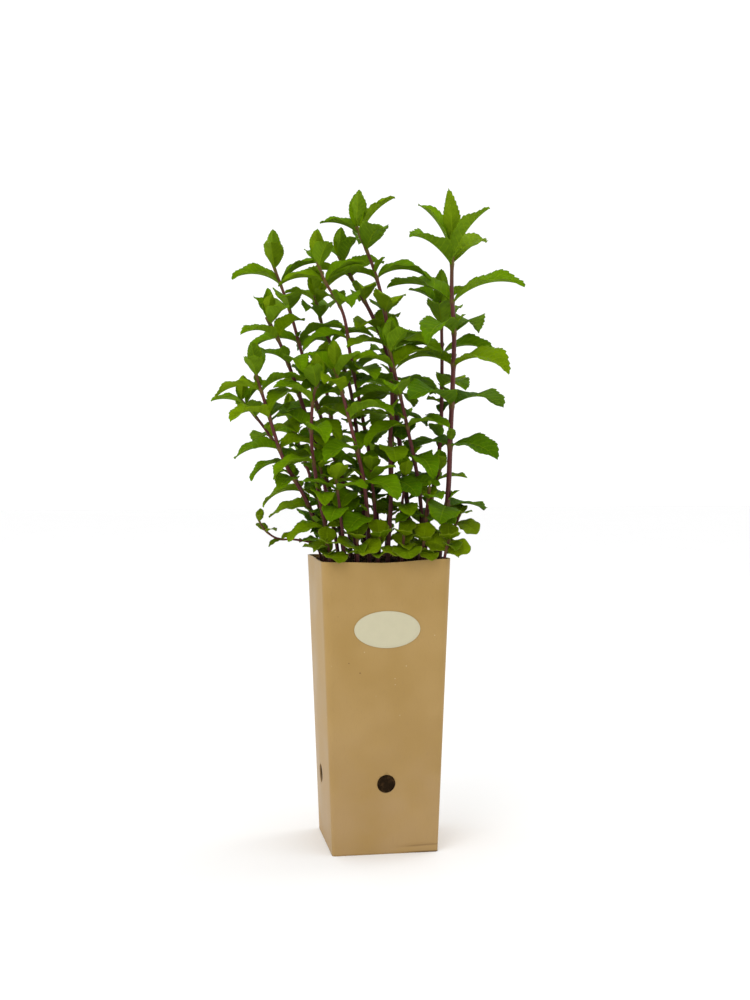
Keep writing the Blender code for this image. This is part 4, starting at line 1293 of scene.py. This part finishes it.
def fine_leaf(leaf, age, draw):
    """A closed thin leaf: points, faces, which surface each face has, and map places."""
    teeth, depth = teeth_of(leaf)
    shares, heights = leaf_stations(teeth)
    cross, share = np.meshgrid(ACROSS_OF_TINY if teeth == TEETH_OF_TINY[0] else ACROSS, shares)
    tooth = heights[:, None] * (np.abs(cross) == 1.0) * smooth_step(0.12, 0.34, share) * (1 - 0.35 * share)
    points = np.concatenate(blade_skins(leaf, age, draw, cross, share, tooth, depth))
    index = np.arange(cross.size).reshape(cross.shape)
    corners = [index[:-1, :-1], index[:-1, 1:], index[1:, 1:], index[1:, :-1]]
    lower = np.stack(corners, axis=-1).reshape(-1, 4)
    upper = lower[:, ::-1]
    rim = np.concatenate([index[:, 0], index[-1, 1:], index[-2::-1, -1], index[0, -2:0:-1]])
    after = np.roll(rim, -1)
    edge = np.stack([rim, rim + cross.size, after + cross.size, after], axis=-1)
    faces = np.concatenate([upper, lower + cross.size, edge])
    surfaces = np.repeat([1, 2, 1], [len(upper), len(lower), len(edge)])
    smooth = np.repeat([1, 1, 0], [len(upper), len(lower), len(edge)])
    places = np.stack([(cross + 1) / 2, share], axis=-1).reshape(-1, 2)
    return points, faces, surfaces, smooth, np.concatenate([places, places])


# The fine skin of a stem
# Square with rounded corners and slightly hollow sides, as stems of the mint family are, and
# swollen where each pair of leaves stands.
STEM_RING_GAP = 0.0024
LEAST_STEM_RINGS = 6
STEM_SIDES = 16
STEM_SQUARENESS = 5.0
STEM_HOLLOW = 0.05
NODE_SWELL = 0.34
NODE_REACH = 0.0019


def fine_stem(stem):
    """A closed tube along the smooth way up: points, faces, and each point's values and map place."""
    total = stem["path"][1][-1]
    count = max(int(total / STEM_RING_GAP), LEAST_STEM_RINGS)
    heights = [total * i / count for i in range(count + 1)]
    centres = [Vector((stem["foot"][0], stem["foot"][1], SOIL_LEVEL - ROOT_DEPTH))]
    centres += [along_path(stem["way"], height)[0] for height in heights]
    shares = [0.0] + [height / total for height in heights]
    swells = [0.0]
    for height in heights:
        near = [math.exp(-((height - pair) / NODE_REACH) ** 2) for pair in stem["heights"]]
        swells.append(NODE_SWELL * max(near, default=0.0))
    facing = Vector((math.cos(stem["turn"]), math.sin(stem["turn"]), 0))
    rings, ways_up, ridge_highlights, nodes, places = [], [], [], [], []
    for i, centre in enumerate(centres):
        ahead, behind = centres[min(i + 1, len(centres) - 1)], centres[max(i - 1, 0)]
        side, up = across_stem(facing, (ahead - behind).normalized())
        half = girth_at(stem["girth"], shares[i]) * (1 + swells[i])
        ring = []
        for step in range(STEM_SIDES):
            angle = 2 * math.pi * step / STEM_SIDES
            cosine, sine = math.cos(angle), math.sin(angle)
            square = (abs(cosine) ** STEM_SQUARENESS + abs(sine) ** STEM_SQUARENESS) ** (-1 / STEM_SQUARENESS)
            reach = half * square * (1 - STEM_HOLLOW * (0.5 + 0.5 * math.cos(4 * angle)))
            ring.append(centre + side * (reach * cosine) + up * (reach * sine))
            ways_up.append(shares[i])
            # The corners get a value for a painted highlight.
            ridge_highlights.append(0.5 - 0.5 * math.cos(4 * angle))
            nodes.append(swells[i] / NODE_SWELL)
            places.append((step / STEM_SIDES, shares[i]))
        rings.append(ring)
    points, faces = loft(rings)
    fan_cap(points, faces, 0, STEM_SIDES, centres[0], False)
    fan_cap(points, faces, len(points) - 1 - STEM_SIDES, STEM_SIDES, centres[-1], True)
    ends = [0.0, 0.0]
    values = {"way_up": ways_up + [0.0, 1.0], "ridge_highlight": ridge_highlights + ends, "node": nodes + ends}
    return points, faces, values, places + [(0.5, 0.0), (0.5, 1.0)]


# The colours of leaves and stems
# Leaves are a fresh yellow-green when young and darker with age, with paler veins and edges.
# Stems are dark low down, partly woody and partly painted shade, purple-brown above and green at the tip.
LEAF_YOUNG = (0.150, 0.290, 0.0010, 1.0)
LEAF_OLD = (0.061, 0.143, 0.0010, 1.0)
LEAF_PALE_VEIN = (0.270, 0.400, 0.010, 1.0)
LEAF_WARM = (0.215, 0.315, 0.0012, 1.0)
LEAF_SHADY = (0.048, 0.125, 0.0012, 1.0)
BASAL_EDGE = (0.230, 0.280, 0.030, 1.0)
LEAF_UNDER_YOUNG = (0.175, 0.300, 0.010, 1.0)
LEAF_UNDER_OLD = (0.090, 0.180, 0.010, 1.0)
BASAL_YOUNG = (0.140, 0.215, 0.0012, 1.0)
BASAL_OLD = (0.072, 0.122, 0.0012, 1.0)
STALK_RED = (0.160, 0.035, 0.016, 1.0)
# The stems' dark foot: their woody colour with painted shade near the soil.
STEM_FOOT_WOOD_AND_SHADE = (0.042, 0.010, 0.011, 1.0)
STEM_MIDDLE = (0.132, 0.034, 0.033, 1.0)
STEM_TOP = (0.120, 0.080, 0.012, 1.0)
# Painted highlight on the stems' corners, also the tint of their real streaks.
STEM_RIDGE_HIGHLIGHT_AND_STREAK = (0.215, 0.080, 0.072, 1.0)
NODE_GREEN = (0.130, 0.125, 0.014, 1.0)
LEAF_SHEEN = 0.02
WARM_AMOUNT = 0.58
SHADY_AMOUNT = 0.40
NET_SCALE = (9.0, 26.0, 1.0)
LARGE_LEAF_LOOKS = (
    ("leaf_upper_face", LEAF_YOUNG, LEAF_OLD, 0.68, LEAF_WARM, 0.22, 0.52, 0.00035),
    ("leaf_under_face", LEAF_UNDER_YOUNG, LEAF_UNDER_OLD, 0.75, LEAF_WARM, 0.22, 0.70, 0.00030),
)
BASAL_LEAF_LOOKS = (
    ("round_leaf_upper_face", BASAL_YOUNG, BASAL_OLD, 0.45, BASAL_EDGE, 0.60, 0.50, 0.00035),
    ("round_leaf_under_face", BASAL_YOUNG, LEAF_UNDER_OLD, 0.60, BASAL_EDGE, 0.60, 0.70, 0.00020),
)


def vein_group():
    """Shared by every leaf surface: where its midrib, side veins, stalk and margin are on its map."""
    group = bpy.data.node_groups.new("leaf_veins", "ShaderNodeTree")
    group.interface.new_socket(name="Map Place", in_out="INPUT", socket_type="NodeSocketVector")
    for name in ("Midrib", "Side Veins", "Stalk", "Margin", "Net"):
        group.interface.new_socket(name=name, in_out="OUTPUT", socket_type="NodeSocketFloat")
    leaf = NodeWork(group)
    taken = leaf.nodes.new("NodeGroupInput").outputs["Map Place"]
    given = leaf.nodes.new("NodeGroupOutput").inputs
    x, share = leaf.axes(taken)[:2]
    across = leaf.reckon("ABSOLUTE", leaf.reckon("MULTIPLY_ADD", x, 2.0, -1.0))
    shifted = leaf.reckon("MULTIPLY_ADD", leaf.reckon("POWER", across, VEIN_CURVE), -VEIN_LEAN, share)
    along = leaf.reckon("DIVIDE", leaf.reckon("SUBTRACT", shifted, VEIN_START), VEIN_GAP)
    line = leaf.span(leaf.reckon("PINGPONG", along, 0.5), 0.10, 0.015)
    ends = leaf.times(leaf.span(share, 0.05, 0.11), leaf.span(share, 0.95, 0.80))
    side_veins = leaf.times(leaf.times(line, leaf.span(across, 0.98, 0.60)), ends)
    rib_reach = leaf.reckon("MULTIPLY_ADD", share, -0.05, 0.085)
    rib = leaf.reckon("SUBTRACT", 1.0, leaf.reckon("DIVIDE", across, rib_reach), limit=True)
    cells = leaf.nodes.new("ShaderNodeTexVoronoi")
    cells.feature = "DISTANCE_TO_EDGE"
    leaf.feed(cells.inputs["Vector"], leaf.stretched(taken, NET_SCALE))
    for name, mask in (("Midrib", rib), ("Side Veins", side_veins), ("Stalk", leaf.span(share, 0.09, 0.02)),
                       ("Margin", leaf.span(across, 0.86, 1.0)),
                       ("Net", leaf.span(cells.outputs["Distance"], 0.0, 0.22))):
        leaf.feed(given[name], mask)
    return group


leaf_veins = vein_group()


def leaf_surface(name, young, old, vein_strength, edge_tint, edge_strength, roughness, bump_depth):
    """One face of the leaves: its colour goes with age, and its veins stand out from it."""
    leaf = Surface(name, roughness, specular=LEAF_SHEEN)
    surface_map = leaf.nodes.new("ShaderNodeUVMap")
    surface_map.uv_map = "surface_map"
    veins = leaf.nodes.new("ShaderNodeGroup")
    veins.node_tree = leaf_veins
    leaf.feed(veins.inputs["Map Place"], surface_map.outputs["UV"])
    midrib, side_veins, stalk, margin, net = veins.outputs
    age, tone = leaf.value("age"), leaf.value("tone")
    colour = leaf.blend(age, young, old)
    colour = leaf.blend(leaf.times(leaf.span(tone, 0.55, 1.0), WARM_AMOUNT), colour, LEAF_WARM)
    colour = leaf.blend(leaf.times(leaf.span(tone, 0.50, 0.0), SHADY_AMOUNT), colour, LEAF_SHADY)
    colour, patches = leaf.mottled(colour, scale=150.0, depth=0.85)
    fade = leaf.reckon("MULTIPLY_ADD", age, -0.60 * vein_strength, 1.15 * vein_strength)
    colour = leaf.blend(leaf.times(side_veins, leaf.times(fade, 0.6)), colour, LEAF_PALE_VEIN)
    colour = leaf.blend(leaf.times(midrib, fade), colour, LEAF_PALE_VEIN)
    colour = leaf.blend(leaf.times(margin, edge_strength), colour, edge_tint)
    colour = leaf.blend(leaf.times(stalk, leaf.times(age, 0.75)), colour, STALK_RED)
    height = leaf.reckon("MULTIPLY_ADD", net, 0.6, leaf.times(side_veins, -0.8))
    height = leaf.reckon("MULTIPLY_ADD", leaf.noise(scale=2600.0, detail=2.0), 0.25, height)
    leaf.feed(leaf.inputs["Roughness"], leaf.reckon("MULTIPLY_ADD", patches, 0.16, roughness - 0.08))
    return leaf.finish(colour, height, bump_depth, strength=0.7)


def stem_surface():
    """Purple-brown: woody and painted shade low down, painted corner highlights, greener at pairs and tip."""
    stem = Surface("square_stem_skin", roughness=0.48, specular=0.10)
    way_up = stem.value("way_up")
    # Darker towards the foot: partly woody, partly painted shade near the soil.
    colour = stem.blend(stem.span(way_up, 0.06, 0.50), STEM_FOOT_WOOD_AND_SHADE, STEM_MIDDLE)
    colour = stem.blend(stem.span(way_up, 0.84, 1.0), colour, STEM_TOP)
    # A painted highlight on the corners, a random darker tone for each stem, and green at the pairs.
    for name, amount, tint in (("ridge_highlight", 0.34, STEM_RIDGE_HIGHLIGHT_AND_STREAK), ("tone", 0.5, STEM_FOOT_WOOD_AND_SHADE),
                               ("node", 0.55, NODE_GREEN)):
        colour = stem.blend(stem.times(stem.value(name), amount), colour, tint)
    streaks = stem.noise(scale=1.0, stretch=(1500.0, 1500.0, 120.0))
    colour, height = stem.mottled(colour, scale=260.0, depth=0.8)
    colour = stem.blend(stem.times(stem.span(streaks, 0.5, 0.8), 0.35), colour, STEM_RIDGE_HIGHLIGHT_AND_STREAK)
    return stem.finish(colour, stem.reckon("ADD", height, streaks), distance=0.00012, strength=0.7)


# The small leaves
# Side shoots stand in the axils, dark old leaves low on the stems, round ones at the foot of each
# young shoot, and a closed bud at each tip.
AXIL_SEED = 300
AXIL_CHANCE = 0.75
AXIL_PAIRS = range(2, 9)
AXIL_LENGTHS = (0.0085, 0.0160)
AXIL_RISE = 0.0030
AXIL_TURNS = (-38, 38)
AXIL_RISES = (52, 70)
AXIL_BENDS = (25, 50)
BUD_LENGTHS = (0.006, 0.009)
BUD_SINK = 0.0004
BUD_BEND = 20
BUD_RISES = (74, 84)
LOW_FROM = 0.009
LOW_GAP = 0.0080
LOW_ROOM = 0.004
LOW_CHANCE = 0.90
LOW_LENGTHS = (0.0100, 0.0190)
LOW_RISES = (15, 60)
LOW_BENDS = (25, 60)
SMALL_FOLD = math.radians(24)
YOUNG_AGES = (0.0, 0.12)
LOW_AGES = (0.75, 1.0)
SLIM_RATIOS = (0.24, 0.32)
BROAD_RATIOS = (0.34, 0.42)
ROUND_RATIOS = (0.38, 0.46)
RIM_LEAF_HEIGHTS = (0.008, 0.0135)
RIM_LEAF_TURNS = (0.0, 1.9, -1.9)
RIM_LEAF_LENGTHS = (0.0095, 0.0145)
RIM_LEAF_AGES = (0.2, 1.0)
RIM_LEAF_RISES = (5, 30)
RIM_LEAF_BENDS = (30, 60)
AGE_CURVE = 2.5
OLDEST_PAIR = 7.0
OLDEST_SHORT_PAIR = 2.5
OLDEST_SHOOT_PAIR = 3.0


def small_leaf(root, azimuth, rise, bend, length, draw, ratios=SLIM_RATIOS, ages=YOUNG_AGES):
    """A leaf that no pair table holds, its rise and bend in degrees."""
    return {
        "root": root, "azimuth": azimuth, "rise": math.radians(rise), "bend": math.radians(bend),
        "length": length, "width": length * draw.uniform(*ratios), "age": draw.uniform(*ages),
        "sway": draw.uniform(-0.08, 0.08), "roll": math.radians(draw.uniform(-15, 15)),
        "fold": SMALL_FOLD, "taper": LEAF_SHOULDER, "round": ratios is ROUND_RATIOS, "pair": None,
    }


def add_if_clear(wished, name, obstacles, grown):
    """Let a leaf grow if it can be bent clear of what stands already."""
    clear = bend_clear(wished, name, obstacles)
    if clear:
        grown.append(clear)
        stand(None, leaf_solid(clear), obstacles)


def axil_leaves(name, stem, draw, obstacles):
    """Leaves of the small side shoots that stand between a stem and its lower leaves."""
    grown = []
    for leaf in stem["leaves"]:
        if leaf["pair"] not in AXIL_PAIRS or draw.random() > AXIL_CHANCE:
            continue
        root = along_path(stem["way"], stem["heights"][leaf["pair"]] + AXIL_RISE)[0]
        for turn in AXIL_TURNS:
            azimuth = leaf["azimuth"] + math.radians(turn + draw.uniform(-8, 8))
            wished = small_leaf(root, azimuth, draw.uniform(*AXIL_RISES), draw.uniform(*AXIL_BENDS),
                                draw.uniform(*AXIL_LENGTHS) * stem["size"], draw)
            add_if_clear(wished, name, obstacles, grown)
    return grown


def low_leaves(name, stem, draw, obstacles):
    """Small old leaves on the bare foot of a stem, in the shade of the others."""
    grown = []
    height = LOW_FROM + draw.uniform(0, LOW_GAP)
    while height < min(stem["heights"]) - LOW_ROOM:
        root = along_path(stem["way"], height)[0]
        first_azimuth = draw.uniform(0, 2 * math.pi)
        for opposite in (0, math.pi):
            azimuth = first_azimuth + opposite + draw.uniform(-0.3, 0.3)
            wished = small_leaf(root, azimuth, draw.uniform(*LOW_RISES), draw.uniform(*LOW_BENDS),
                                draw.uniform(*LOW_LENGTHS), draw, BROAD_RATIOS, LOW_AGES)
            if draw.random() < LOW_CHANCE:
                add_if_clear(wished, name, obstacles, grown)
        height += LOW_GAP * draw.uniform(0.8, 1.3)
    return grown


def rim_leaves(name, stem, draw, obstacles):
    """Small round leaves round the foot of a shoot, some of them over the rim of the pot."""
    grown = []
    for height in RIM_LEAF_HEIGHTS:
        root = along_path(stem["way"], height)[0]
        azimuth = math.atan2(root.y, root.x) + draw.uniform(-0.5, 0.5)
        for turn in RIM_LEAF_TURNS:
            wished = small_leaf(root, azimuth + turn, draw.uniform(*RIM_LEAF_RISES),
                                draw.uniform(*RIM_LEAF_BENDS), draw.uniform(*RIM_LEAF_LENGTHS), draw,
                                ROUND_RATIOS, RIM_LEAF_AGES)
            add_if_clear(wished, name, obstacles, grown)
    return grown


def bud_leaves(stem, draw):
    """The last unopened leaves, closed up over the tip."""
    tip = along_path(stem["way"], stem["path"][1][-1] - BUD_SINK)[0]
    turn = stem["turn"] + QUARTER_TURN + draw.uniform(-0.3, 0.3)
    return [small_leaf(tip, turn + opposite, draw.uniform(*BUD_RISES), BUD_BEND,
                       draw.uniform(*BUD_LENGTHS) * stem["size"], draw) for opposite in (0, math.pi)]


def make_leafy_piece(name, stem, leaves, surfaces, oldest):
    """One stem with all its leaves in one mesh, in place of the solid of the same name."""
    draw = random.Random(name)
    points, faces, values, places = fine_stem(stem)
    start = stem_count = len(points)
    parts = [(np.array(points), np.zeros(len(faces)), np.ones(len(faces)), np.array(places),
              np.zeros(start), np.full(start, draw.random()))]
    for leaf in leaves:
        if leaf["pair"] is None:
            age = leaf["age"]
        else:
            height = stem["heights"][leaf["pair"]]
            shift = along_path(stem["way"], height)[0] - along_path(stem["path"], height)[0]
            leaf = dict(leaf, root=leaf["root"] + shift)
            age = (leaf["pair"] / oldest) ** AGE_CURVE + draw.uniform(-0.08, 0.12)
            age = min(max(age, 0.0), 1.0)
        points, leaf_faces, face_surfaces, smooth, places = fine_leaf(leaf, age, draw)
        faces.extend((leaf_faces + start).tolist())
        ages, tones = np.full(len(points), age), np.full(len(points), draw.random())
        parts.append((points, face_surfaces, smooth, places, ages, tones))
        start += len(points)
    points, face_surfaces, smooth, places, ages, tones = (np.concatenate(column) for column in zip(*parts))
    values = {key: np.pad(numbers, (0, start - stem_count)) for key, numbers in values.items()}
    values.update({"age": ages, "tone": tones})
    piece = add_piece("fine_" + name, points.tolist(), faces, surfaces, face_surfaces, smooth, values, places)
    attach(piece, "root")
    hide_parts(name)


def make_plant():
    plan, obstacles = plant_plan()
    skin = stem_surface()
    large = [skin] + [leaf_surface(*looks) for looks in LARGE_LEAF_LOOKS]
    basal = [skin] + [leaf_surface(*looks) for looks in BASAL_LEAF_LOOKS]
    for seed, (name, stem) in enumerate(plan.items()):
        draw = random.Random(AXIL_SEED + seed)
        leaves = stem["leaves"] + bud_leaves(stem, draw)
        if name in STEMS:
            leaves += axil_leaves(name, stem, draw, obstacles)
            leaves += low_leaves(name, stem, draw, obstacles)
            make_leafy_piece(name, stem, leaves, large, OLDEST_PAIR)
        elif name in SHORT_STEMS:
            make_leafy_piece(name, stem, leaves, large, OLDEST_SHORT_PAIR)
        else:
            leaves += rim_leaves(name, stem, draw, obstacles)
            make_leafy_piece(name, stem, leaves, basal, OLDEST_SHOOT_PAIR)


make_plant()


# Floor
# A plain pale studio floor that runs on to the backdrop, wide enough for the pot's soft shadow
# to fade out on it.
FLOOR_REACH = 6.0
FLOOR_PALE = (0.90, 0.90, 0.90, 1.0)


def make_floor():
    pale = Surface("pale_floor", roughness=0.9, specular=0.1)
    pale.feed(pale.inputs["Base Color"], pale.mottled(FLOOR_PALE, scale=6.0, depth=0.02)[0])
    corners = [(-FLOOR_REACH, -FLOOR_REACH, 0), (FLOOR_REACH, -FLOOR_REACH, 0),
               (FLOOR_REACH, FLOOR_REACH, 0), (-FLOOR_REACH, FLOOR_REACH, 0)]
    floor = add_piece("studio_floor", corners, [(0, 1, 2, 3)], [pale.material])


make_floor()


# Light and camera
# Soft daylight, a wide lamp high on the left in front, a low one that pales the left wall and one
# behind on the right. The camera stands a little left of the front and looks almost level.
LAMPS = (
    ("high_left_front", (-1.1, -1.5, 1.7), 1.3, 11.0),
    ("low_left", (-1.7, -0.1, 0.25), 1.2, 2.6),
    ("right_back", (1.6, 0.7, 0.8), 1.0, 6.0),
)
AIM_POINT = Vector((0.0, 0.0, 0.23))
BACKDROP_STRENGTH = 1.10
CAMERA_PLACE = Vector((-0.1578, -0.9358, 0.271))
CAMERA_TURN = math.radians(9.5)
CAMERA_DIP = math.radians(1.89)
CAMERA_LENS_MM = 48.78
FILM_HEIGHT_MM = 36.0


def make_lamps():
    for name, place, size, power in LAMPS:
        lamp = bpy.data.lights.new(name, "AREA")
        lamp.shape = "DISK"
        lamp.size = size
        lamp.energy = power
        holder = bpy.data.objects.new(name, lamp)
        holder.location = place
        holder.rotation_euler = (AIM_POINT - Vector(place)).to_track_quat("-Z", "Y").to_euler()
        bpy.context.scene.collection.objects.link(holder)
    world = bpy.data.worlds.new("white_studio")
    world.use_nodes = True
    backdrop = world.node_tree.nodes["Background"].inputs
    backdrop["Color"].default_value = (1.0, 1.0, 1.0, 1.0)
    backdrop["Strength"].default_value = BACKDROP_STRENGTH
    bpy.context.scene.world = world
    bpy.context.scene.view_settings.view_transform = "Standard"


def make_camera():
    camera = bpy.data.cameras.new("front_left")
    camera.sensor_fit = "VERTICAL"
    camera.sensor_height = FILM_HEIGHT_MM
    camera.lens = CAMERA_LENS_MM
    holder = bpy.data.objects.new("front_left", camera)
    level = math.cos(CAMERA_DIP)
    ahead = Vector((math.sin(CAMERA_TURN) * level, math.cos(CAMERA_TURN) * level, -math.sin(CAMERA_DIP)))
    holder.location = CAMERA_PLACE
    holder.rotation_euler = ahead.to_track_quat("-Z", "Y").to_euler()
    bpy.context.scene.collection.objects.link(holder)
    bpy.context.scene.camera = holder


make_lamps()
make_camera()
